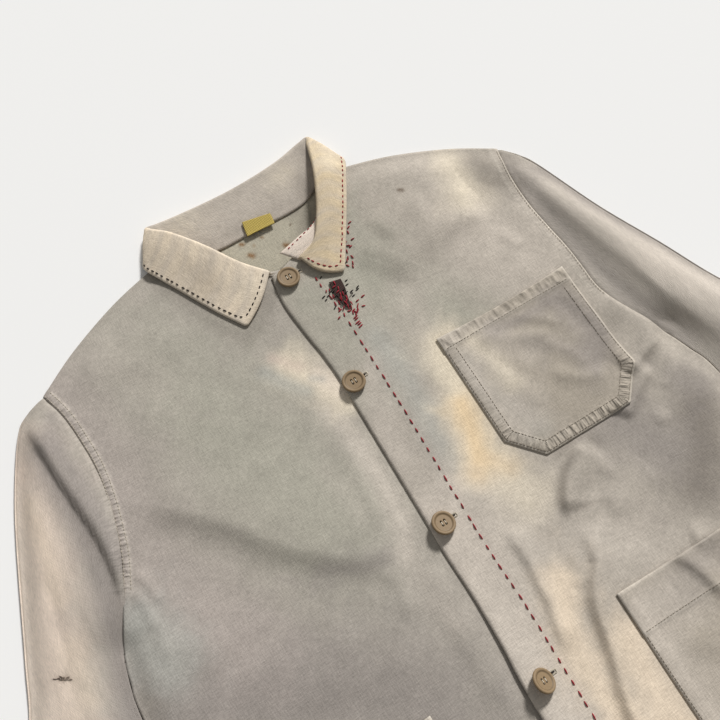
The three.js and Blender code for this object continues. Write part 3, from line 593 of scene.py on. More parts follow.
BACK_STROKES = [
    # Painted shadow under the collar's right end, on the back's inside.
    ("dark", 0.5, 9, [(34, 66), (44, 54), (40, 40)]),
    ("rust", 0.9, 1.7, [(-20, 57.5), (-18, 56)]), ("rust", 0.9, 2.0, [(-18, 43.5), (-16, 41)]),
    ("rust", 0.55, 1.2, [(-10, 50)]), ("rust", 0.6, 1.3, [(0, 54), (1.5, 53)]),
    ("rust", 0.97, 2.3, [(15, 35.5), (18.5, 32)]), ("rust", 0.6, 1.2, [(12, 29)]),
    ("brown", 0.85, 1.2, [(30, 51)]), ("brown", 0.5, 1.0, [(-26, 62)]),
]


def cloth_fields(colour, u, v, seam=0.0, gathers=0.0, across=0.0):
    """Values at the points of a piece of cloth: colour, millimetres along and across it, and gathers."""
    flat = np.zeros(np.shape(u))
    pucker = np.stack([seam + flat, gathers + flat, GATHER_SQUASH * across + flat], -1)
    return {"dye_and_shade": colour, "weave": np.stack([u, v, flat], -1), "pucker": pucker}


# Body

def body_plan(wearer_side, edge, neck, shoulder_share, rows, columns):
    """Plan grid of a panel blended between hem, side edge, shoulder with neck, and front edge."""
    side = curve([*SIDE_SEAM[wearer_side], *ARMHOLE[wearer_side][1:]], rows)
    height = (side[:, 1] - HEM_Y) / (SHOULDER_TIP[1] - HEM_Y)
    share = np.linspace(0, 1, columns) if np.isscalar(columns) else columns
    first = curve(edge, height)
    on_neck = share <= shoulder_share
    top = np.where(on_neck[:, None], curve(neck, np.clip(share / shoulder_share, 0, 1)),
                   curve(SHOULDER, np.clip((share - shoulder_share) / (1 - shoulder_share), 0, 1)))
    bottom = np.stack([lerp(edge[0][0], HEM_HALF, share), np.full(len(share), HEM_Y)], -1)
    u, v = share[None, :, None], height[:, None, None]
    across = lerp(first[:, None], side[:, None], u)
    along = lerp(bottom[None], top[None], v)
    corners = lerp(lerp(bottom[0], bottom[-1], u), lerp(top[0], top[-1], u), v)
    return across + along - corners


def build_front(side, settings):
    """A front: its height function over its plan, with a gathered band beside the armhole."""
    edge, neck = (LAP_EDGE, LAP_NECK) if side == "left" else (UNDERLAP_EDGE, UNDERLAP_NECK)
    turn = 1 if side == "left" else -1
    share = (NECK_POINT[0] - edge[0][0]) / (HEM_HALF - edge[0][0])
    rows, columns = int(PANEL_TALL / settings.grid), int(PANEL_WIDE / settings.grid)
    plan = body_plan(side, edge, neck, share, rows, columns)
    x, y = turn * plan[..., 0], plan[..., 1]
    from_armhole, _, along = near(ARMHOLE_LINE[side], np.abs(x), y)
    shown = smooth(y, *BAND_SHOWN[side])
    band = shown * (1 - smooth(from_armhole, ARMHOLE_BAND - 1.5, ARMHOLE_BAND + 1.5))
    z = FRONT_HEIGHT[side](x, y) + BAND_RISE * BAND_GATHERS[side] * band - SEAM_SINK * bell(from_armhole, 1.6)
    if side == "left":
        from_lap = near(LAP_LINE, x, y)[0]
        curl = LAP_CURL * smooth(-y, LAP_CURL_FROM, LAP_CURL_TO)
        z = z - LAP_SINK * bell(from_lap, 2.0) + curl * bell(from_lap, 14)
    upper = np.stack([x, y, z], -1)
    colour = dyed_and_shaded("chest" if side == "left" else "grey", FRONT_STROKES[side], x, y)
    worn = bell(from_armhole - ARMHOLE_BAND + 1, 1.6) + bell(from_armhole, 1.8)
    blend(colour, "edge", 0.35 * shown * worn)
    gathers = BAND_GATHERS[side] * band * smooth(from_armhole, 0, 2)
    fields = cloth_fields(colour, x, y, along * FRONT_SEAM_RUN, gathers, from_armhole)
    piece = cloth_shell(f"cloth_front_{side}", upper, upper - (0, 0, WALL), fields)
    return finish_cloth(piece, f"front_{side}_panel", "faded_twill")


def build_back(settings):
    """The back, flat on the floor, with finer steps towards the neck."""
    share = NECK_POINT[0] / HEM_HALF
    rows = 1 - (1 - np.linspace(0, 1, int(BACK_TALL / settings.grid))) ** 2
    columns = np.linspace(0, 1, int(BACK_WIDE / settings.grid)) ** 2
    middle = [(0, HEM_Y), (0, -300), (0, 66)]
    left, right = (body_plan(side, middle, BACK_NECK[3:], share, rows, columns) for side in ("left", "right"))
    plan = np.concatenate([right[:, :0:-1] * (-1, 1), left], 1)
    x, y = plan[..., 0], plan[..., 1]
    upper = np.stack([x, y, np.full(x.shape, CLOTH)], -1)
    fields = cloth_fields(dyed_and_shaded("inside", BACK_STROKES, x, y), x, y)
    piece = cloth_shell("cloth_back", upper, upper - (0, 0, CLOTH), fields)
    return finish_cloth(piece, "back_panel", "faded_twill")


def build_sleeve(side, settings):
    """Rings from armhole to cuff: the plan runs between outer and inner edge, the upper layer is lofted."""
    shape = SLEEVES[side]
    turn = shape["turn"]
    end = np.array(shape["outer"][-1])
    cuff = end - CUFF_WIDTH * np.array([np.cos(CUFF_TURN), np.sin(CUFF_TURN)])
    inner_points = [*shape["inner"], tuple(cuff)]
    stations = int(SLEEVE_SPAN / (settings.grid * SLEEVE_STEP))
    s = np.linspace(0, 1, stations)[:, None]
    t = np.linspace(0, 1, SLEEVE_HALF_RING)
    w = lerp(t, (1 - np.cos(np.pi * t)) / 2, 0.8)[None, :]
    outer, inner = curve(shape["outer"], stations), curve(inner_points, stations)
    arm = curve(ARMHOLE[side][::-1], w[0])
    straight = lerp(arm[0], arm[-1], w[0][:, None])
    bow = (arm - straight)[None] * ((1 - s) ** lerp(5, 23, w))[..., None]
    plan = lerp(outer[:, None], inner[:, None], w[..., None]) + bow
    x = plan[..., 0] + SEAM_GAP + SLACK * np.minimum(1, s * 17)
    y = plan[..., 1]
    from_outer = near(curve(shape["outer"], 50), x, y)[0]
    from_inner = near(curve(inner_points, 50), x, y)[0]
    from_armhole, _, along_armhole = near(ARMHOLE_LINE[side], x, y)
    outside, inside = edge_rise(from_outer, SLEEVE_OUTER_ROLL), edge_rise(from_inner, SLEEVE_INNER_ROLL)
    folds = relief(SLEEVE_FOLDS[side], turn * x, y)
    loft = lerp(FRONT_LOFT, SLEEVE_LOFT, smooth(s, 0, LOFT_FROM))
    rise = outside * (inside * loft + np.minimum(1, 4 * inside) * folds)
    z = FRONT_BASE + np.maximum(0, rise * (1 - CUFF_FALL * smooth(s, CUFF_FALL_FROM, 1)))
    from_edge = np.minimum(from_outer, np.where(w > 0.5, from_inner, 99))
    round_off = np.sqrt(np.clip(1 - (1 - np.minimum(from_edge / SLEEVE_EDGE_ROUND, 1)) ** 2, 0, 1))
    middle = FRONT_BASE / 2
    tuck = SLEEVE_TUCK * bell(from_armhole, 3.2) * np.minimum(1, from_outer / 6)
    head = x - SLEEVE_HEAD_UNDER * (s == 0)
    upper = np.stack([turn * head, y, middle + (z - middle) * round_off - tuck], -1)
    under = np.stack([turn * x, y, middle - middle * round_off], -1)
    ring = np.concatenate([upper, under[:, -2:0:-1]], 1)
    inside_wall = offset_grid(ring, turn * SLEEVE_WALL, True)
    for layer, lowest in ((ring, 0.0), (inside_wall, SLEEVE_INSIDE_Z)):
        layer[..., 2] = np.maximum(layer[..., 2], lowest)
    px, py = ring[..., 0], ring[..., 1]
    shown = smooth(y, *BAND_SHOWN[side]) * BAND_GATHERS[side]
    gathers = np.concatenate([shown * bell(from_armhole, 8), 0 * x[:, -2:0:-1]], 1)
    seam = np.concatenate([along_armhole, along_armhole[:, -2:0:-1]], 1) * SLEEVE_SEAM_RUN
    length = np.broadcast_to(s * SLEEVE_LENGTH, px.shape)
    colour = dyed_and_shaded("grey", SLEEVE_STROKES[side], px, py)
    fields = cloth_fields(colour, length, running(ring, 1), seam, 0.45 * gathers)
    piece = cloth_shell(f"cloth_sleeve_{side}", ring, inside_wall, fields, True)
    return finish_cloth(piece, f"sleeve_{side}", "faded_twill")


# Collar

def front_station(neck, roll, edge, rise):
    """A collar station that rests on its front: neck seam, roll line and outer edge, with heights."""
    height = FRONT_HEIGHT["right" if neck[0] + edge[0] < 0 else "left"]
    clear = SEAM_GAP + SLACK + COLLAR_CLOTH / 2
    dx, dy = np.meshgrid((-9, 0, 9), (-9, 0, 9))
    seam = float(height(np.array(neck[0]), np.array(neck[1])))
    rest = float(height(edge[0] + dx, edge[1] + dy).max())
    return (*neck, seam + clear), (*roll, seam + rise), (*edge, rest + clear), 0.0


def collar_stations():
    """Neck seam, roll line, outer edge and turn of the leaf, from the right end round to the left."""
    back = [
        ((-81, 74, 6.5), (-85.5, 108, 9.5), (-108, 77, 7.5), 0.25),
        ((-85, 82, 5.6), (-88, 112.5, 7.5), (-107, 83, 4.6), 0.5),
        ((-75, 74, 4.2), (-80, 112, 6), (-96, 85, 2.2), 0.8),
        ((-52, 63, BACK_SEAM_Z), (-52, 109, BACK_ROLL_Z), (-62, 75, FALL_Z), 1.0),
        ((0, BACK_SEAM_Y, BACK_SEAM_Z), (0, BACK_ROLL_Y, BACK_ROLL_Z), (0, 71, FALL_Z), 1.0),
        ((52, 63, BACK_SEAM_Z), (50, 111, BACK_ROLL_Z), (62, 75, FALL_Z), 1.0),
        ((75, 75, 4.2), (80, 118, 6), (96, 88, 2.2), 0.8),
        ((85, 84, 5.6), (88, 118.5, 7.5), (106, 86, 4.6), 0.5),
        ((81, 74, 6.5), (85, 111, 9.5), (107, 80, 7.5), 0.25),
    ]
    return [
        front_station((-8, 11), (-13, 12), (-55, -21.5), 3.5),
        front_station((-30, 25), (-32, 33), (-72, 6), 6),
        front_station((-54, 43), (-52, 64), (-89, 38), 8),
        front_station((-73, 64), (-74, 94), (-102, 63), 8),
        *[(n, r, e, turn * np.pi) for n, r, e, turn in back],
        front_station((70, 58), (75, 80), (100, 66), 8),
        front_station((50, 37), (57, 42), (84, 38), 8),
        front_station((28, 31), (39, 18), (66, 9), 6),
        front_station((5, 25), (18, 9), (47, -21), 3.5),
    ]


def through(points, s):
    """Centripetal Catmull-Rom curve through points in space, read by share of the point count."""
    p = np.asarray(points, float)
    ends = np.vstack([2 * p[0] - p[1], p, 2 * p[-1] - p[-2]])
    t = s * (len(p) - 1)
    k = np.minimum(t.astype(int), len(p) - 2)
    u = (t - k)[:, None]
    a, b, c, d = (ends[k + i] for i in range(4))
    q, r, v = (np.sqrt(np.linalg.norm(m - n, axis=-1, keepdims=True)) for m, n in ((b, a), (c, b), (d, c)))
    start = ((b - a) / q - (c - a) / (q + r) + (c - b) / r) * r
    stop = ((c - b) / r - (d - b) / (r + v) + (d - c) / v) * r
    return b + start * u + (3 * (c - b) - 2 * start - stop) * u**2 + (2 * (b - c) + start + stop) * u**3


STAND_STEPS, ROLL_STEPS, LEAF_STEPS = 22, 9, 34
COLLAR_SECTIONS = 190
COLLAR_HALF_WALL = 0.4 * COLLAR_CLOTH
END_BOW = {"right": np.array([1.9, -2.3, 0]), "left": np.array([-4.6, -4.6, 0])}
TIP_RADIUS = 3.5


def collar_grid(stations):
    """Sections from one front end to the other: up the stand, round the roll and out along the leaf."""
    made = collar_stations()
    s = np.linspace(0, 1, stations)
    neck, roll, edge = (through([m[k] for m in made], s)[:, None] for k in range(3))
    turn = np.interp(s * (len(made) - 1), np.arange(len(made)), [m[3] for m in made])[:, None, None]
    flat = np.array([1, 1, 0])
    ahead = unit((roll - (neck + edge) / 2) * flat)
    outward = unit((edge - neck) * flat)
    lift = unit(outward * np.sin(turn) + np.array([0, 0, 1]) * np.cos(turn))
    t = np.linspace(0, 1, STAND_STEPS)[None, :, None]
    stand = lerp(neck, roll - ROLL_RADIUS * lift, t)
    angle = np.linspace(0, np.pi, ROLL_STEPS + 2)[1:-1][None, :, None]
    bend = roll + ROLL_RADIUS * (ahead * np.sin(angle) - lift * np.cos(angle))
    t = np.linspace(0, 1, LEAF_STEPS)[None, :, None]
    leaf = lerp(roll + ROLL_RADIUS * lift, edge, t) + lift * LEAF_SWELL * np.sin(np.pi * t) * (1 - t)
    first, last = (np.maximum(0, 1 - 12 * share)[:, None, None] for share in (s, 1 - s))
    leaf = leaf + (first * END_BOW["right"] + last * END_BOW["left"]) * np.sin(np.pi * t)
    return round_tips(np.concatenate([stand, bend, leaf], 1))


def round_tips(grid):
    """The leaf's two points rounded off: in each corner square the grid is drawn in to a quarter disc."""
    along, across = running(grid, 0), running(grid, 1)
    ahead, outward = unit(np.gradient(grid, axis=0)), unit(np.gradient(grid, axis=1))
    v = np.clip(1 - (across[:, -1:] - across) / TIP_RADIUS, 0, 1)
    for reach, sign in ((along, -1), (along[-1:] - along, 1)):
        u = np.clip(1 - reach / TIP_RADIUS, 0, 1)
        back = TIP_RADIUS * (u - u * np.sqrt(1 - v * v / 2))
        inward = TIP_RADIUS * (v - v * np.sqrt(1 - u * u / 2))
        grid = grid - sign * back[..., None] * ahead - inward[..., None] * outward
    return grid


def spot(x, y, centre, squash, reach):
    """A soft spot: 1 at its centre, squashed along y and falling off within its reach."""
    return bell(np.hypot(x - centre[0], (y - centre[1]) * squash), reach)


def build_collar():
    """The collar as a wall on both sides of its sections, bleached on the leaf and greyer on the stand."""
    grid = collar_grid(COLLAR_SECTIONS)
    rows, columns = grid.shape[:2]
    s = np.broadcast_to(np.linspace(0, 1, rows)[:, None], (rows, columns))
    along, across = running(grid, 0), running(grid, 1)
    from_edge, from_end = across[:, -1:] - across, np.minimum(along, along[-1:] - along)
    leaf = np.where(np.arange(columns)[None] >= STAND_STEPS + ROLL_STEPS // 2, 1, 0)
    stand = 1 - leaf
    x, y = grid[..., 0], grid[..., 1]
    colour = plain("collar", (rows, columns))
    for tone, share in (
        ("straw", 0.9 * smooth(s, 0.62, 0.8)),
        ("stand", stand * 0.95 * smooth(s, 0.16, 0.26) * (1 - smooth(s, 0.76, 0.84))),
        ("cream", stand * 0.6 * spot(x, y, (46, 97), 1.4, 16)),
        ("cream", stand * 0.45 * spot(x, y, (-56, 100), 1.2, 20)),
        ("bone", stand * 0.85 * bell(across, 1.6) * smooth(s, 0.2, 0.3) * (1 - smooth(s, 0.72, 0.8))),
        # Painted shadow in the corner under the right end of the roll.
        ("dark", stand * 0.6 * spot(x, y, (80, 104), 0.6, 9)),
        ("dark", stand * 0.5 * spot(x, y, (62, 82), 1, 13)),
        ("dark", stand * 0.3 * bell(y - 70, 5) * smooth(s, 0.3, 0.4) * (1 - smooth(s, 0.6, 0.7))),
        ("band", stand * 0.95 * smooth(s, 0.83, 0.88)),
        ("dark", leaf * 0.3 * spot(x, y, (-66, 40), 1, 18)),
        ("dark", leaf * 0.22 * spot(x, y, (66, 34), 1, 16)),
        ("cream", leaf * 0.45 * spot(x, y, (-36, 8), 1, 15)),
        ("cream", leaf * 0.5 * spot(x, y, (92, 84), 1, 14)),
        ("edge", leaf * 0.4 * bell(from_edge, 2.5)),
        ("pale", 0.3 * (0.5 + 0.5 * waver(along, across * 0.5, 9))),
        ("stand", 0.35 * smooth(waver(along, across * 0.12, 4.5), 0, 1)),
    ):
        blend(colour, tone, share)
    gathers = 0.5 * leaf * bell(np.minimum(from_edge, from_end) - 5, 3)
    fields = cloth_fields(colour, along, across, along * 0.8, gathers)
    nearest = np.minimum(np.minimum(from_edge, from_end), across)
    half = COLLAR_HALF_WALL * np.sqrt(1 - (1 - np.clip(nearest / 1.5, 0.02, 1)) ** 2)[..., None]
    piece = cloth_shell("cloth_collar", offset_grid(grid, half), offset_grid(grid, -half), fields)
    return finish_cloth(piece, "collar", "faded_twill")


# Pockets, label and darn

OUTLINE_STEPS = 160
PATCH_STEPS = 24
POCKET_STEP = {"chest_pocket": 0.6, "pocket_left": 0.9, "pocket_right": 0.9}
POCKET_BELLY = 1.2
POCKET_SINK = 0.8
HEM_RISE, HEM_RIDGE, TURNING_RISE = 0.6, 0.35, 0.3


def pocket_outline(shape, inset=0.0):
    """Down one side, round the cut corners and up the other side, moved in from the edges."""
    left, right = shape["left"] + inset, shape["right"] - inset
    bottom, top = shape["bottom"] + inset, shape["top"]
    slant = np.hypot(shape["cut_x"], shape["cut_y"])
    low = shape["bottom"] + shape["cut_y"] + inset * (slant - shape["cut_y"]) / shape["cut_x"]
    near_x = shape["cut_x"] + inset * (slant - shape["cut_x"]) / shape["cut_y"]
    corners = np.array([(left, top), (left, low), (shape["left"] + near_x, bottom),
                        (shape["right"] - near_x, bottom), (right, low), (right, top)])
    length = running(corners, 0)
    return read_line(corners, length, np.linspace(0, length[-1], OUTLINE_STEPS))


def pocket_surface(name, x, y):
    """Height of a pocket's outer face, with its edge distance and the length along its outline."""
    shape = POCKETS[name]
    from_top = shape["top"] - y
    from_edge, _, along = near(pocket_outline(shape), x, y)
    hem = 1 - smooth(from_top, shape["hem"] - 0.8, shape["hem"] + 0.8)
    turned = 1 - smooth(from_edge, 10.0, 12.0)
    rim = np.minimum(from_edge, np.maximum(from_top, 0))
    clear = SEAM_GAP + CLOTH + SLACK * edge_rise(from_edge, 5) - POCKET_SINK * bell(rim, 1.6)
    belly = POCKET_BELLY * edge_rise(from_edge, 30) * smooth(from_top, 0, 30)
    ridge = HEM_RIDGE * bell(from_top - shape["hem"], 1.8)
    z = FRONT_HEIGHT[shape["front"]](x, y) + clear + HEM_RISE * hem + TURNING_RISE * turned + belly + ridge
    return z + relief(POCKET_FOLDS[name], x, y), from_edge, along * POCKET_SEAM_RUN


def pocket_height(name, x, y):
    """Height of a pocket's outer face."""
    return pocket_surface(name, x, y)[0]


def build_pocket(name, settings):
    """A patch pocket on its panel's points moved out, with a turned hem at the mouth and cut corners."""
    shape = POCKETS[name]
    step = settings.grid * POCKET_STEP[name]
    tall, wide = shape["top"] - shape["bottom"], shape["right"] - shape["left"]
    v = np.linspace(0, 1, int(tall / step))[:, None]
    u = np.linspace(0, 1, int(wide / step))[None, :]
    y = shape["top"] - tall * v + 0 * u
    cut = np.maximum(0, 1 - (y - shape["bottom"]) / shape["cut_y"]) * shape["cut_x"]
    x = lerp(shape["left"] + cut, shape["right"] - cut, u)
    y = y - shape["sag"] * np.sin(np.pi * u) * (1 - v) ** 6
    z, from_edge, along = pocket_surface(name, x, y)
    upper = np.stack([x, y, z], -1)
    from_top = shape["top"] - y
    colour = dyed_and_shaded("pocket", POCKET_STROKES[name], x, y)
    rim = bell(from_edge, 1.5) + bell(from_top, 1.6) + 0.5 * bell(from_top - shape["hem"] + 1, 1.4)
    blend(colour, "edge", np.clip(0.6 * rim, 0, 1))
    in_hem = 1 - smooth(from_top, shape["hem"] - 3, shape["hem"] - 1)
    below_hem = smooth(from_top, shape["hem"] + 2, shape["hem"] + 5)
    at_edge = (1 - smooth(from_edge, 9, 12)) * smooth(from_edge, 0.5, 2.5)
    low = lerp(0.2, 1, smooth(shape["bottom"] + shape["cut_y"] - y, -26, 4))
    gathers = in_hem * smooth(from_top, 1, 3) * smooth(from_edge, 2, 4) + below_hem * at_edge * low
    seam, across = np.where(from_top < shape["hem"], (x * 0.62, from_top), (along, from_edge))
    fields = cloth_fields(colour, x, y, seam, shape["gathers"] * gathers, across)
    piece = cloth_shell(f"cloth_{name}", upper, upper - (0, 0, WALL), fields)
    return finish_cloth(piece, name, "faded_twill")


def build_patch(name, pairs, height, look, tone):
    """A small flat piece between pairs of left and right points, laid on a height function."""
    left, right = (curve([pair[k] for pair in pairs], PATCH_STEPS)[:, None] for k in range(2))
    plan = lerp(left, right, np.linspace(0, 1, PATCH_STEPS)[None, :, None])
    x, y = plan[..., 0], plan[..., 1]
    upper = np.stack([x, y, height(x, y) + SEAM_GAP + SLACK + PATCH_CLOTH], -1)
    fields = cloth_fields(dyed_and_shaded(tone, [], x, y), x, y)
    piece = cloth_shell(f"cloth_{name}", upper, upper - (0, 0, PATCH_CLOTH), fields)
    return finish_cloth(piece, name, look)


def label_height(x, y):
    """The collar stand at the back neck, which the label lies on."""
    share = np.maximum(0, (y - BACK_SEAM_Y) / (BACK_ROLL_Y - BACK_SEAM_Y))
    return lerp(BACK_SEAM_Z, BACK_ROLL_Z + ROLL_RADIUS, share) + COLLAR_CLOTH / 2


# Buttons

# Lean of each button in degrees, and the way it leans.
BUTTON_TILT = [(8, 40), (6, 60), (18, 20), (36, 10), (6, 0)]
BUTTON_LIFT = 7
BUTTON_SIZE = 1.05
BUTTON_PROFILE = [(0, 0), (8.2, 0), (9.6, 0.5), (10, 1.3), (9.9, 2.2), (9.3, 2.9), (8.5, 3.0), (7.8, 2.8),
                  (7.2, 2.3), (6.4, 2.1), (0, 2.0)]
BUTTON_SIDES, BODY_RINGS, FACE_RINGS = 72, 44, 26
GROOVE_RADIUS = 7.4
HOLE_REACH = 1.7
HOLE_DEPTH = 1.7
FACE_Z = 2.0


def button_place(index):
    """Turn and place of a button, which leans on its thread."""
    low, high = (np.array(c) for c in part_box(f"button_{index + 1}"))
    tilt, toward = np.radians(BUTTON_TILT[index])
    spin = Matrix.Rotation(toward, 3, "Z") @ Matrix.Rotation(tilt, 3, "Y") @ Matrix.Rotation(-toward, 3, "Z")
    centre = ((low + high) / 2 - DATUM) / MM
    z = low[2] / MM + BUTTON_LIFT * np.sin(tilt)
    return np.array(spin).T, np.array([centre[0], centre[1], z])


def build_button(index, settings):
    """A turned disc on a polar grid: back, rim and dished face with four sunk holes."""
    profile = np.array(BUTTON_PROFILE) * (BUTTON_SIZE, 1)
    outline = np.concatenate([curve(profile[:-1], BODY_RINGS), curve(profile[-2:], FACE_RINGS)[1:]])
    angle = np.linspace(0, 2 * np.pi, BUTTON_SIDES, endpoint=False)
    r, z = np.maximum(outline[:, :1], 0.02), np.broadcast_to(outline[:, 1:], (len(outline), BUTTON_SIDES))
    x, y = r * np.cos(angle), r * np.sin(angle)
    ends = (-HOLE_REACH, HOLE_REACH)
    holes = np.min([np.hypot(x - hx, y - hy) for hx in ends for hy in ends], 0)
    on_face = np.arange(len(outline))[:, None] >= BODY_RINGS - 1
    sunk = np.where(on_face, 1 - smooth(holes, 0.55, 1.15), 0)
    groove = np.where(on_face, 0, bell(r - GROOVE_RADIUS, 0.7) * (z > 1.5))
    turn, place = button_place(index)
    points = np.stack([x, y, z - HOLE_DEPTH * sunk], -1) @ turn + place
    tone = np.ones((*x.shape, 4))
    # The holes and the groove inside the rim are painted darker: painted shade.
    tone[..., :3] = np.array(settings.button) * ((1 - 0.8 * sunk) * (1 - 0.35 * groove))[..., None]
    fields = {"dye_and_shade": tone, "weave": np.stack([x, y, 0 * x], -1)}
    piece = make_mesh(f"sewn_button_{index + 1}", points, grid_faces(*x.shape, 0, True), fields)
    piece.data.materials.append(material("button_resin"))
    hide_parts(f"button_{index + 1}")
    return piece


# Sewing

# Running stitches: pitch, length and wobble in mm.
LAP_STITCH = (9.4, 5.2, 0.25)
COLLAR_STITCH = (5.6, 3.3, 0.15)
BAND_STITCH = (5.0, 2.8, 0.12)
MACHINE_STITCH = (3.0, 2.3, 0.05)
# Thread radii in mm; the black darn and the band take a share of the hand thread's.
MACHINE_RADIUS, POCKET_ROW_RADIUS, MEND_RADIUS = 0.3, 0.28, 0.28
SLIT_RADIUS, WHIP_RADIUS, BAR_RADIUS = 0.55, 0.38, 0.36
BLACK_SHARE, BAND_SHARE = 0.85, 0.8
# Heights in mm of the threads over the cloth that they lie on.
HAND_LIFT, ROW_LIFT, BAND_LIFT, SLIT_LIFT, MEND_LIFT = 0.25, 0.1, 0.5, 0.2, 0.1
# Shares of the collar's length where its rows start and turn, and where the band's row runs.
BLACK_ROW, RED_ROW, BAND_ROW = (0.285, 0.011), (0.715, 0.989), (0.8, 0.99)
COLLAR_INSET = 4.0
BAND_COLUMN = 3
HEM_ROW = 12
HEM_ROW_X = (26.0, 150.0, 280.0)


def threads(name, start, end, radius, tone, rings=5, sides=6, seed=1):
    """Stitches as short tubes: each runs from start to end, arched over the cloth and sunk at both ends."""
    start, end = np.asarray(start, float), np.asarray(end, float)
    count = len(start)
    t = np.linspace(0, 1, rings)
    arch = radius * (1.1 * np.sin(np.pi * t) - 0.35)
    slim = 0.65 + 0.35 * np.sin(np.pi * t)
    line = start[:, None] + (end - start)[:, None] * t[None, :, None]
    line[..., 2] += arch
    side = unit(np.cross(end - start, (0, 0, 1)))[:, None, None]
    angle = np.linspace(0, 2 * np.pi, sides, endpoint=False)[None, None, :, None]
    ring = side * np.cos(angle) + np.array([0, 0, 1.0]) * np.sin(angle)
    points = line[:, :, None] + ring * (radius * slim)[None, :, None, None]
    tube = grid_faces(rings, sides, 0, True)
    faces = (tube[None] + (np.arange(count) * rings * sides)[:, None, None]).reshape(-1, 4)
    shade = np.random.default_rng(seed).uniform(0.82, 1.15, (count, 1, 1))
    colour = np.ones((count, rings * sides, 4))
    colour[..., :3] = np.array(tone) * shade
    piece = make_mesh(name, points, faces, {"dye_and_shade": colour})
    piece.data.materials.append(material("cotton_thread"))
    return piece


def stitch_pairs(line, pitch, length, wobble, seed):
    """Start and end points of running stitches along a line in plan or in space."""
    line = np.asarray(line, float)
    reach = running(line, 0)
    rng = np.random.default_rng(seed)
    first = np.arange(pitch * 0.3, reach[-1] - length, pitch)
    first = first + rng.uniform(-0.1, 0.1, len(first)) * pitch
    last = first + length * rng.uniform(0.85, 1.1, len(first))
    start, end = read_line(line, reach, first), read_line(line, reach, last)
    start[:, :2] += rng.uniform(-wobble, wobble, (len(first), 2))
    end[:, :2] += rng.uniform(-wobble, wobble, (len(first), 2))
    return start, end


def on_cloth(points, height, lift):
    """Plan points set on a height function."""
    z = height(points[:, 0], points[:, 1]) + lift
    return np.column_stack([points[:, :2], z])


# Hand stitches beside the darn: place of the middle, direction in degrees and length.
RED_STITCHES = [
    (21.2, -13.7, 90, 4), (21.4, -21.2, 85, 4), (22.7, -28.8, 60, 3), (25.8, -29.3, 70, 3),
    (23.4, -36, 100, 5), (25.8, -36.4, 80, 4.5), (23.6, -43.5, 85, 5), (27.2, -44, 80, 5),
    (29.9, -42.6, 85, 4), (24, -51.1, 15, 4.5), (24.3, -49.4, 100, 3.5), (27.6, -51.3, 40, 4.5),
    (19.6, -56.9, 20, 3.5), (25.2, -56.6, 75, 4), (30.7, -55.8, 160, 3.5), (33, -26, 85, 4.5),
    (30.7, -29.3, 10, 4), (33.4, -32.4, 70, 4), (31.2, -35, 20, 4), (34.3, -38.8, 80, 4.5),
    (32, -38.4, 75, 4), (31, -41.5, 85, 4.5), (35.2, -44, 80, 5), (33.4, -46.8, 60, 4.5),
    (31.8, -47.5, 100, 4), (32, -52, 80, 5), (33.9, -54.2, 65, 4), (34.6, -57, 20, 4), (33, -58.7, 70, 4),
    (35.4, -59.4, 120, 4), (36.1, -50.7, 90, 4), (38.3, -57.8, 55, 4.5), (37.6, -59.4, 40, 4),
    (40.1, -54.9, 45, 4.5), (42.3, -50.7, 15, 4), (48.8, -49.3, 10, 4.5), (44.4, -57.8, 165, 3.5),
    (32.5, -63.6, 14, 5), (32.3, -65.6, 14, 4.5), (31.6, -69, 12, 5.5), (32.3, -70.9, 12, 4.5),
    (32.1, -73.4, 16, 5), (34.6, -61.4, 70, 4), (76.5, 20.2, 10, 4), (72.9, 16.5, 25, 4), (70, 12.4, 85, 4),
    (62.4, 4.2, 30, 4), (70, 4.2, 5, 4), (63.3, 0.6, 150, 4), (64.6, -1.4, 10, 3.5), (59.3, -3.7, 75, 4),
    (55.8, -4.3, 60, 4.5), (60.6, -10.8, 100, 4), (54.8, -11.6, 60, 4), (56.9, -9.8, 70, 3.5),
    (52.6, -16.3, 120, 3.5), (58.1, -16.3, 75, 4), (56.3, -19.5, 80, 3.5),
]
BLACK_STITCHES = [
    (43.7, -28.6, 12, 3.5), (42.3, -32.4, 10, 3.5), (42.6, -40, 15, 4), (41.4, -42.2, 12, 3.5),
    (41.9, -44.7, 12, 3.5), (49.5, -39, 20, 4), (47.9, -41.1, 12, 4), (17.8, -32.4, 15, 4),
    (18.3, -36, 20, 3), (25.4, -31.3, 15, 3.5), (22.3, -33.5, 15, 4), (28, -32.8, 12, 3.5),
    (26.7, -38.2, 15, 3.5), (21.2, -46.7, 30, 3.5), (25.4, -14.6, 20, 3), (28.8, -38.8, 80, 3),
    (29, -46.2, 80, 3), (52.3, -13, 20, 3.5), (37.5, -39.5, 10, 3.5), (36.8, -36, 12, 3.5),
]
LAP_RUN = [(25, -62), (24.5, -150), (22, -250), (21, -300), (22, -350), (20, -440), (20.5, -560), (21, -650)]
SLEEVE_MEND = [
    (-327, -203, -30, 3.6), (-324.6, -204, -12, 3), (-323.4, -205.6, -44, 3.4), (-321.4, -205.2, -24, 3),
    (-320, -207.4, -36, 3.6), (-318, -207, -8, 2.8), (-317, -209.2, -40, 3.2), (-322.4, -203.6, -50, 2.4),
]


def short_stitches(marks):
    """Start and end points of single stitches from their middles, directions and lengths."""
    x, y, angle, length = np.array(marks, float).T
    step = np.stack([np.cos(np.radians(angle)), np.sin(np.radians(angle))], -1) * length[:, None] / 2
    middle = np.stack([x, y], -1)
    return middle - step, middle + step


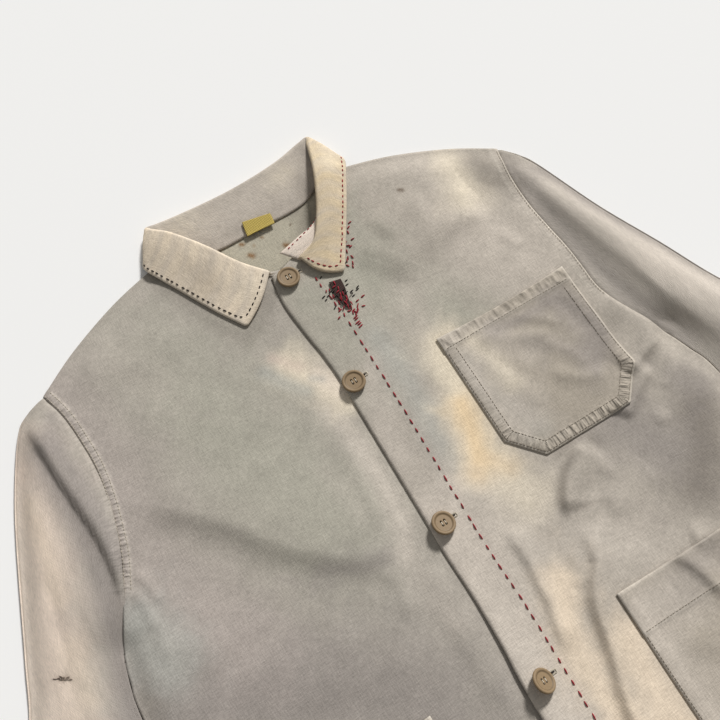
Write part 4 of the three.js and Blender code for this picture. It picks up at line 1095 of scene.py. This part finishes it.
def collar_run(grid, first, last, inset):
    """A line on the leaf, inset from the edges: along the outer one, round the point and up the front end."""
    leaf = grid[:, STAND_STEPS + ROLL_STEPS:]
    across = np.linalg.norm(np.diff(leaf, axis=1), axis=-1).sum(1)
    rows = np.linspace(first, last, 60)
    share = 1 - inset / np.interp(rows, np.arange(len(grid)), across)
    edge = leaf_points(leaf, rows, share)
    front = leaf_points(leaf, np.full(26, last), np.linspace(share[-1], 0.04, 26))
    return smooth_line(np.concatenate([edge[:-2], front[2:]]), 160)


def leaf_points(leaf, rows, share):
    """The points of the leaf's grid nearest to given rows and shares of its width."""
    columns = np.round(share * (LEAF_STEPS - 1)).astype(int)
    return leaf[np.clip(np.round(rows).astype(int), 0, len(leaf) - 1), np.clip(columns, 0, LEAF_STEPS - 1)]


def smooth_line(points, count):
    """A line in space evened out along its length."""
    even = curve(points, count)
    kernel = np.ones(7) / 7
    padded = np.concatenate([np.repeat(even[:1], 3, 0), even, np.repeat(even[-1:], 3, 0)])
    return np.stack([np.convolve(padded[:, k], kernel, "valid") for k in range(3)], -1)


def top_of(grid, points, reach):
    """Height of the highest grid point within reach of each plan point."""
    flat = grid.reshape(-1, 3)
    far = np.hypot(points[:, :1] - flat[None, :, 0], points[:, 1:2] - flat[None, :, 1])
    return np.where(far < reach, flat[None, :, 2], -1).max(1)


def on_darn(points):
    """Plan points set on the wearer's left front, higher where a stitch crosses the darn."""
    inside = np.all((points > DARN_LOW) & (points < DARN_HIGH), 1)
    over = np.where(inside, PATCH_CLOTH + SEAM_GAP + SLACK, 0.0)
    return on_cloth(points, left_front_height, HAND_LIFT) + np.column_stack([0 * points, over])


def on_sleeve(points):
    """Plan points set on the top of the right sleeve."""
    mesh = bpy.data.objects["cloth_sleeve_right"].data
    sleeve = np.empty(len(mesh.vertices) * 3, np.float32)
    mesh.vertices.foreach_get("co", sleeve)
    sleeve = (sleeve.reshape(-1, 3) - DATUM) / MM
    return np.column_stack([points, top_of(sleeve, points, 4.5) + MEND_LIFT])


def sew_by_hand(settings):
    """The run down the lap, the stitches round the darn, the collar's rows and the mend on the sleeve."""
    radius = settings.hand_radius
    ends = stitch_pairs(curve(LAP_RUN, 300), *LAP_STITCH, 3)
    a, b = (on_cloth(end, left_front_height, HAND_LIFT) for end in ends)
    threads("sewn_red_lap", a, b, radius, settings.red, seed=3)
    for name, marks, share, tone, seed in (
        ("sewn_red_darn", RED_STITCHES, 1, settings.red, 5),
        ("sewn_black_darn", BLACK_STITCHES, BLACK_SHARE, settings.black, 7),
    ):
        a, b = map(on_darn, short_stitches(marks))
        threads(name, a, b, radius * share, tone, seed=seed)
    top = offset_grid(collar_grid(COLLAR_SECTIONS), COLLAR_HALF_WALL)
    last = len(top) - 1
    for name, row, tone, seed in (("sewn_black_collar", BLACK_ROW, settings.black, 11),
                                  ("sewn_red_collar", RED_ROW, settings.red, 13)):
        line = collar_run(top, row[0] * last, row[1] * last, COLLAR_INSET)
        threads(name, *stitch_pairs(line, *COLLAR_STITCH, seed), radius, tone, seed=seed)
    band = top[int(BAND_ROW[0] * last):int(BAND_ROW[1] * last), BAND_COLUMN]
    ends = stitch_pairs(smooth_line(band, 90), *BAND_STITCH, 17)
    threads("sewn_red_band", *ends, radius * BAND_SHARE, settings.red, seed=17)
    a, b = map(on_sleeve, short_stitches(SLEEVE_MEND))
    threads("sewn_sleeve_mend", a, b, MEND_RADIUS, settings.mend, seed=43)


def offset_line(line, distance):
    """A plan line moved to its left hand."""
    step = np.gradient(line, axis=0)
    return line + distance * unit(np.stack([-step[:, 1], step[:, 0]], -1))


def sew_rows(name, rows, radius, tone, seed):
    """Machine rows as one piece, each from a plan line, the height function it lies on and its lift."""
    starts, ends = [], []
    for line, height, lift in rows:
        a, b = stitch_pairs(line, *MACHINE_STITCH, seed)
        starts.append(on_cloth(a, height, lift))
        ends.append(on_cloth(b, height, lift))
    threads(name, np.concatenate(starts), np.concatenate(ends), radius, tone, rings=3, sides=5, seed=seed)


def sew_by_machine(settings):
    """Rows along the armhole bands and the hem as one piece, and one piece of rows for each pocket."""
    rows = []
    for side, turn in (("left", 1), ("right", -1)):
        armhole = curve(ARMHOLE[side], 120)
        armhole = armhole[armhole[:, 1] > np.mean(BAND_SHOWN[side])]
        for inset in BAND_ROWS[side]:
            rows.append((offset_line(armhole, inset) * (turn, 1), FRONT_HEIGHT[side], BAND_LIFT))
        hem = [(turn * x, HEM_Y + HEM_ROW) for x in HEM_ROW_X]
        rows.append((curve(hem, 120), FRONT_HEIGHT[side], ROW_LIFT))
    sew_rows("sewn_machine_rows", rows, MACHINE_RADIUS, settings.tonal, 29)
    for name, shape in POCKETS.items():
        height = partial(pocket_height, name)
        hem_y = shape["top"] - shape["hem"] + 1.2
        rows = [(curve([(shape["left"] + 2, hem_y), (shape["right"] - 2, hem_y)], 90), height, ROW_LIFT)]
        for inset in shape["rows"]:
            outline = pocket_outline(shape, inset)
            rows.append((outline[outline[:, 1] < hem_y - 1.5], height, ROW_LIFT))
        sew_rows(f"sewn_{name}_rows", rows, POCKET_ROW_RADIUS, settings.shade, 31)


def sew_buttons(settings):
    """A dark slit beside each button with whip stitches round it, and two bars of thread over its holes."""
    slit, whip, bars = [], [], []
    holes = np.array([(x, y, FACE_Z) for x in (-HOLE_REACH, HOLE_REACH) for y in (-HOLE_REACH, HOLE_REACH)])
    for index in range(len(BUTTON_TILT)):
        turn, place = button_place(index)
        x, mid = place[0], place[1] + 1.2
        slit.append(((x + 8.5, mid - 0.1), (x + 13.0, mid + 0.2)))
        for step in np.linspace(9.6, 13.4, 5):
            whip += [((x + step, mid + way * 0.7), (x + step + 0.3, mid + way * 2.1)) for way in (-1, 1)]
        whip.append(((x + 14.3, mid - 1.6), (x + 14.5, mid + 1.8)))
        bars.append((holes @ turn + place).reshape(2, 2, 3))
    for name, marks, radius, tone in (("sewn_buttonhole_slits", slit, SLIT_RADIUS, settings.black),
                                      ("sewn_buttonhole_whips", whip, WHIP_RADIUS, settings.pale)):
        a, b = (on_cloth(q, left_front_height, SLIT_LIFT) for q in np.array(marks).transpose(1, 0, 2))
        threads(name, a, b, radius, tone, seed=37)
    bars = np.concatenate(bars)
    threads("sewn_button_threads", bars[:, 0], bars[:, 1], BAR_RADIUS, settings.pale, seed=41)


# Materials

def add(tree, kind, inputs=None, output=0, **settings):
    """Adds a node, makes its settings, fills its inputs with values or links, and gives one output."""
    made = tree.nodes.new(kind)
    for key, value in settings.items():
        setattr(made, key, value)
    for key, value in (inputs or {}).items():
        if isinstance(value, bpy.types.NodeSocket):
            tree.links.new(value, made.inputs[key])
        else:
            made.inputs[key].default_value = value
    return made.outputs[output]


def shader(name, roughness, build):
    """A surface with its colour from the painted colour values, which carry some painted shade, and its bumps
    from a function of the node tree.
    """
    made = bpy.data.materials.new(name)
    made.use_nodes = True
    tree = made.node_tree
    tree.nodes.clear()
    dye_and_shade = add(tree, "ShaderNodeAttribute", output="Color", attribute_name="dye_and_shade")
    tint, height = build(tree)
    inputs = {"Base Color": dye_and_shade, "Roughness": roughness, "Specular IOR Level": 0.2}
    if tint is not None:
        inputs["Base Color"] = add(tree, "ShaderNodeMix", {0: 1.0, 6: dye_and_shade, 7: tint}, 2, data_type="RGBA",
                                   blend_type="MULTIPLY")
    if height is not None:
        inputs["Normal"] = add(tree, "ShaderNodeBump", {"Height": height, "Distance": MM, "Strength": 1.0})
    surface = add(tree, "ShaderNodeBsdfPrincipled", inputs)
    tree.links.new(surface, tree.nodes.new("ShaderNodeOutputMaterial").inputs["Surface"])
    return made


def twill_look(tree):
    """Faded cotton twill: slubs along warp and weft, fine diagonal ribs, and gathers beside seams."""
    place = add(tree, "ShaderNodeAttribute", output="Vector", attribute_name="weave")
    slubs = []
    for scale in ((0.16, 0.85, 1), (0.85, 0.16, 1)):
        stretched = add(tree, "ShaderNodeMapping", {"Vector": place, "Scale": scale})
        noise = {"Vector": stretched, "Scale": 1.0, "Detail": 3.0, "Roughness": 0.65}
        slubs.append(add(tree, "ShaderNodeTexNoise", noise))
    grain = add(tree, "ShaderNodeMath", {0: slubs[0], 1: slubs[1]}, operation="ADD")
    speck = add(tree, "ShaderNodeTexNoise", {"Vector": place, "Scale": 0.75, "Detail": 3.0, "Roughness": 0.7})
    cloud = add(tree, "ShaderNodeTexNoise",
                {"Vector": place, "Scale": 0.05, "Detail": 5.0, "Roughness": 0.62})
    ribs = add(tree, "ShaderNodeTexWave", {"Vector": place, "Scale": 0.5, "Distortion": 0.6, "Detail": 1.0},
               bands_direction="DIAGONAL")
    seam = add(tree, "ShaderNodeAttribute", output="Vector", attribute_name="pucker")
    along, strength, across = (add(tree, "ShaderNodeSeparateXYZ", {0: seam}, axis) for axis in "XYZ")
    row = add(tree, "ShaderNodeCombineXYZ", {0: along, 1: across})
    ripple = add(tree, "ShaderNodeTexNoise", {"Vector": row, "Scale": 0.21, "Detail": 1.0})
    wave = add(tree, "ShaderNodeMath", {0: ripple, 1: 5.0, 2: -2.5}, operation="MULTIPLY_ADD")
    gather = add(tree, "ShaderNodeMath", {0: wave, 1: strength}, operation="MULTIPLY")
    tint, height = 0.3, 0.0
    for value, share in ((grain, 0.6), (speck, 0.2)):
        tint = add(tree, "ShaderNodeMath", {0: value, 1: share, 2: tint}, operation="MULTIPLY_ADD")
    for value, share, least in ((cloud, 0.44, 0.78), (gather, 0.1, 1.0)):
        factor = add(tree, "ShaderNodeMath", {0: value, 1: share, 2: least}, operation="MULTIPLY_ADD")
        tint = add(tree, "ShaderNodeMath", {0: tint, 1: factor}, operation="MULTIPLY")
    for value, share in ((ribs, 0.06), (grain, 0.22), (speck, 0.1), (gather, 0.5)):
        height = add(tree, "ShaderNodeMath", {0: value, 1: share, 2: height}, operation="MULTIPLY_ADD")
    return tint, height


def darn_look(tree):
    """Woven darn: raised threads crossing at right angles."""
    place = add(tree, "ShaderNodeAttribute", output="Vector", attribute_name="weave")
    bars = [add(tree, "ShaderNodeTexWave", {"Vector": place, "Scale": 0.26, "Distortion": 0.8, "Detail": 1.0},
                bands_direction=way) for way in ("X", "Y")]
    cross = add(tree, "ShaderNodeMath", {0: bars[0], 1: bars[1]}, operation="MULTIPLY")
    tint = add(tree, "ShaderNodeMath", {0: cross, 1: 1.1, 2: 0.6}, operation="MULTIPLY_ADD")
    return tint, add(tree, "ShaderNodeMath", {0: cross, 1: 0.5}, operation="MULTIPLY")


def resin_look(tree):
    """Urea resin: matt, faintly mottled."""
    place = add(tree, "ShaderNodeAttribute", output="Vector", attribute_name="weave")
    mottle = add(tree, "ShaderNodeTexNoise", {"Vector": place, "Scale": 0.5, "Detail": 3.0})
    return add(tree, "ShaderNodeMath", {0: mottle, 1: 0.4, 2: 0.8}, operation="MULTIPLY_ADD"), None


def plain_look(tree):
    """Twisted cotton thread in one colour."""
    return None, None


LOOKS = {
    "faded_twill": (0.93, twill_look),
    "gold_label_weave": (0.6, darn_look),
    "darning_wool": (0.95, darn_look),
    "button_resin": (0.5, resin_look),
    "cotton_thread": (0.85, plain_look),
}


def material(name):
    """The material of a name, made when it is first asked for."""
    return bpy.data.materials.get(name) or shader(name, *LOOKS[name])


def finish_cloth(piece, node, look):
    """Gives a piece of cloth its material and hides the part that it stands for."""
    piece.data.materials.append(material(look))
    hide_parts(node)
    return piece


# Settings, operators and panel

COLOUR = {"subtype": "COLOR", "size": 3, "min": 0.0, "max": 1.0}


class JacketCloth(bpy.types.PropertyGroup):
    """Settings of the cloth and the buttons"""
    grid: bpy.props.FloatProperty(name="Grid", description="Step of the cloth shells in millimetres",
                                  default=2.2, min=1.0, max=12.0)
    button: bpy.props.FloatVectorProperty(name="Buttons", description="Colour of the buttons",
                                          default=linear("#8a755a"), **COLOUR)


class JacketThread(bpy.types.PropertyGroup):
    """Settings of the sewing"""
    red: bpy.props.FloatVectorProperty(name="Red", description="Red hand thread",
                                       default=linear("#962f38"), **COLOUR)
    black: bpy.props.FloatVectorProperty(name="Black", description="Black hand thread and buttonhole slits",
                                         default=linear("#2a2322"), **COLOUR)
    pale: bpy.props.FloatVectorProperty(name="Pale", description="Thread of the buttons and buttonholes",
                                        default=linear("#cfc6b4"), **COLOUR)
    tonal: bpy.props.FloatVectorProperty(name="Tonal", description="Machine thread of armholes and hem",
                                         default=linear("#b5ab9b"), **COLOUR)
    shade: bpy.props.FloatVectorProperty(name="Shade", description="Machine thread of the pockets",
                                         default=linear("#8b8174"), **COLOUR)
    mend: bpy.props.FloatVectorProperty(name="Mend", description="Thread of the mend on the right sleeve",
                                        default=linear("#5d5046"), **COLOUR)
    hand_radius: bpy.props.FloatProperty(name="Hand thread", description="Its radius in millimetres",
                                         default=0.62, min=0.2, max=1.5)


class JacketStage(bpy.types.PropertyGroup):
    """Settings of the camera and the lights"""
    lens: bpy.props.FloatProperty(name="Lens", description="Focal length", default=45.0, unit="CAMERA")
    key: bpy.props.FloatProperty(name="Key light", description="Strength of the key light", default=3.85)
    fill: bpy.props.FloatProperty(name="Fill light", description="Strength of the light all round",
                                  default=0.28)


class JACKET_OT_body(bpy.types.Operator):
    """Build the back and the two fronts"""
    bl_idname = "jacket.body"
    bl_label = "Body"

    def execute(self, context):
        settings = context.scene.jacket_cloth
        build_back(settings)
        for side in ("right", "left"):
            build_front(side, settings)
        return {"FINISHED"}


class JACKET_OT_sleeves(bpy.types.Operator):
    """Build both sleeves"""
    bl_idname = "jacket.sleeves"
    bl_label = "Sleeves"

    def execute(self, context):
        for side in SLEEVES:
            build_sleeve(side, context.scene.jacket_cloth)
        return {"FINISHED"}


class JACKET_OT_collar(bpy.types.Operator):
    """Build the collar"""
    bl_idname = "jacket.collar"
    bl_label = "Collar"

    def execute(self, context):
        build_collar()
        return {"FINISHED"}


class JACKET_OT_pockets(bpy.types.Operator):
    """Build the three patch pockets"""
    bl_idname = "jacket.pockets"
    bl_label = "Pockets"

    def execute(self, context):
        for name in POCKETS:
            build_pocket(name, context.scene.jacket_cloth)
        return {"FINISHED"}


class JACKET_OT_patches(bpy.types.Operator):
    """Build the neck label and the darn"""
    bl_idname = "jacket.patches"
    bl_label = "Label and darn"

    def execute(self, context):
        build_patch("neck_label", LABEL, label_height, "gold_label_weave", "label")
        build_patch("darn_patch", DARN, left_front_height, "darning_wool", "darn")
        return {"FINISHED"}


class JACKET_OT_buttons(bpy.types.Operator):
    """Build the buttons"""
    bl_idname = "jacket.buttons"
    bl_label = "Buttons"

    def execute(self, context):
        for index in range(len(BUTTON_TILT)):
            build_button(index, context.scene.jacket_cloth)
        return {"FINISHED"}


class JACKET_OT_hand_sewing(bpy.types.Operator):
    """Sew the red and black hand stitches"""
    bl_idname = "jacket.hand_sewing"
    bl_label = "Hand sewing"

    def execute(self, context):
        sew_by_hand(context.scene.jacket_thread)
        return {"FINISHED"}


class JACKET_OT_machine_sewing(bpy.types.Operator):
    """Sew the machine rows, the buttonholes and the button threads"""
    bl_idname = "jacket.machine_sewing"
    bl_label = "Machine sewing"

    def execute(self, context):
        sew_by_machine(context.scene.jacket_thread)
        sew_buttons(context.scene.jacket_thread)
        return {"FINISHED"}


FLOOR_REACH = 4.0
FLOOR_Z = -0.0005
FLOOR_CORNERS = ((-1, -1), (1, -1), (1, 1), (-1, 1))
FLOOR_TONE, FILL_TONE = "#f4f3f1", "#fafaf9"
FLOOR_ROUGHNESS = 0.9
KEY_TURN, KEY_TILT, KEY_SPREAD = np.radians((-50, -56, 10))
CAMERA_PLACE = np.array([-107.1, -317.2, 762.5])
CAMERA_HEADING, CAMERA_TILT, CAMERA_ROLL = -0.51336, 0.31999, -0.03028
SENSOR_WIDTH = 36
CLIP_END = 20


class JACKET_OT_stage(bpy.types.Operator):
    """Set the floor, the lights and the camera"""
    bl_idname = "jacket.stage"
    bl_label = "Stage"

    def execute(self, context):
        settings = context.scene.jacket_stage
        scene = context.scene
        mesh = bpy.data.meshes.new("stage_floor")
        corners = [(x * FLOOR_REACH, y * FLOOR_REACH, FLOOR_Z) for x, y in FLOOR_CORNERS]
        mesh.from_pydata(corners, [], [(0, 1, 2, 3)])
        floor = bpy.data.objects.new("stage_floor", mesh)
        scene.collection.objects.link(floor)
        paint = bpy.data.materials.new("floor_paint")
        paint.use_nodes = True
        surface = paint.node_tree.nodes["Principled BSDF"].inputs
        surface["Base Color"].default_value = (*linear(FLOOR_TONE), 1)
        surface["Roughness"].default_value = FLOOR_ROUGHNESS
        mesh.materials.append(paint)
        sun = bpy.data.lights.new("key_light", "SUN")
        sun.energy = settings.key
        sun.angle = KEY_SPREAD
        key = bpy.data.objects.new("key_light", sun)
        key.matrix_world = Matrix.Rotation(KEY_TURN, 4, "Z") @ Matrix.Rotation(KEY_TILT, 4, "X")
        scene.collection.objects.link(key)
        world = bpy.data.worlds.new("studio_fill")
        world.use_nodes = True
        background = world.node_tree.nodes["Background"].inputs
        background["Color"].default_value = (*linear(FILL_TONE), 1)
        background["Strength"].default_value = settings.fill
        scene.world = world
        lens = bpy.data.cameras.new("photo_camera")
        lens.lens = settings.lens
        lens.sensor_width = SENSOR_WIDTH
        lens.clip_end = CLIP_END
        camera = bpy.data.objects.new("photo_camera", lens)
        turn = Matrix.Rotation(CAMERA_HEADING, 4, "Z") @ Matrix.Rotation(CAMERA_TILT, 4, "X")
        turn = turn @ Matrix.Rotation(CAMERA_ROLL, 4, "Z")
        camera.matrix_world = Matrix.Translation(CAMERA_PLACE * MM + DATUM) @ turn
        scene.collection.objects.link(camera)
        scene.camera = camera
        scene.view_settings.view_transform = "Standard"
        return {"FINISHED"}


OPERATORS = (JACKET_OT_body, JACKET_OT_sleeves, JACKET_OT_collar, JACKET_OT_pockets, JACKET_OT_patches,
             JACKET_OT_buttons, JACKET_OT_hand_sewing, JACKET_OT_machine_sewing, JACKET_OT_stage)
GROUPS = {"jacket_cloth": JacketCloth, "jacket_thread": JacketThread, "jacket_stage": JacketStage}


class JACKET_PT_panel(bpy.types.Panel):
    """Lists the operators and their settings"""
    bl_label = "Jacket"
    bl_idname = "JACKET_PT_panel"
    bl_space_type = "VIEW_3D"
    bl_region_type = "UI"
    bl_category = "Jacket"

    def draw(self, context):
        for group, kind in GROUPS.items():
            for key in kind.__annotations__:
                self.layout.prop(getattr(context.scene, group), key)
        for operator in OPERATORS:
            self.layout.operator(operator.bl_idname)


def register():
    """Adds the classes, and the settings to the scene."""
    for kind in (*GROUPS.values(), *OPERATORS, JACKET_PT_panel):
        bpy.utils.register_class(kind)
    for group, kind in GROUPS.items():
        setattr(bpy.types.Scene, group, bpy.props.PointerProperty(type=kind))


def unregister():
    """Takes the settings and the classes away again."""
    for group in GROUPS:
        delattr(bpy.types.Scene, group)
    for kind in reversed((*GROUPS.values(), *OPERATORS, JACKET_PT_panel)):
        bpy.utils.unregister_class(kind)


def main():
    """Runs the operators in order."""
    register()
    for operator in OPERATORS:
        group, name = operator.bl_idname.split(".")
        getattr(getattr(bpy.ops, group), name)()


if __name__ == "__main__":
    main()
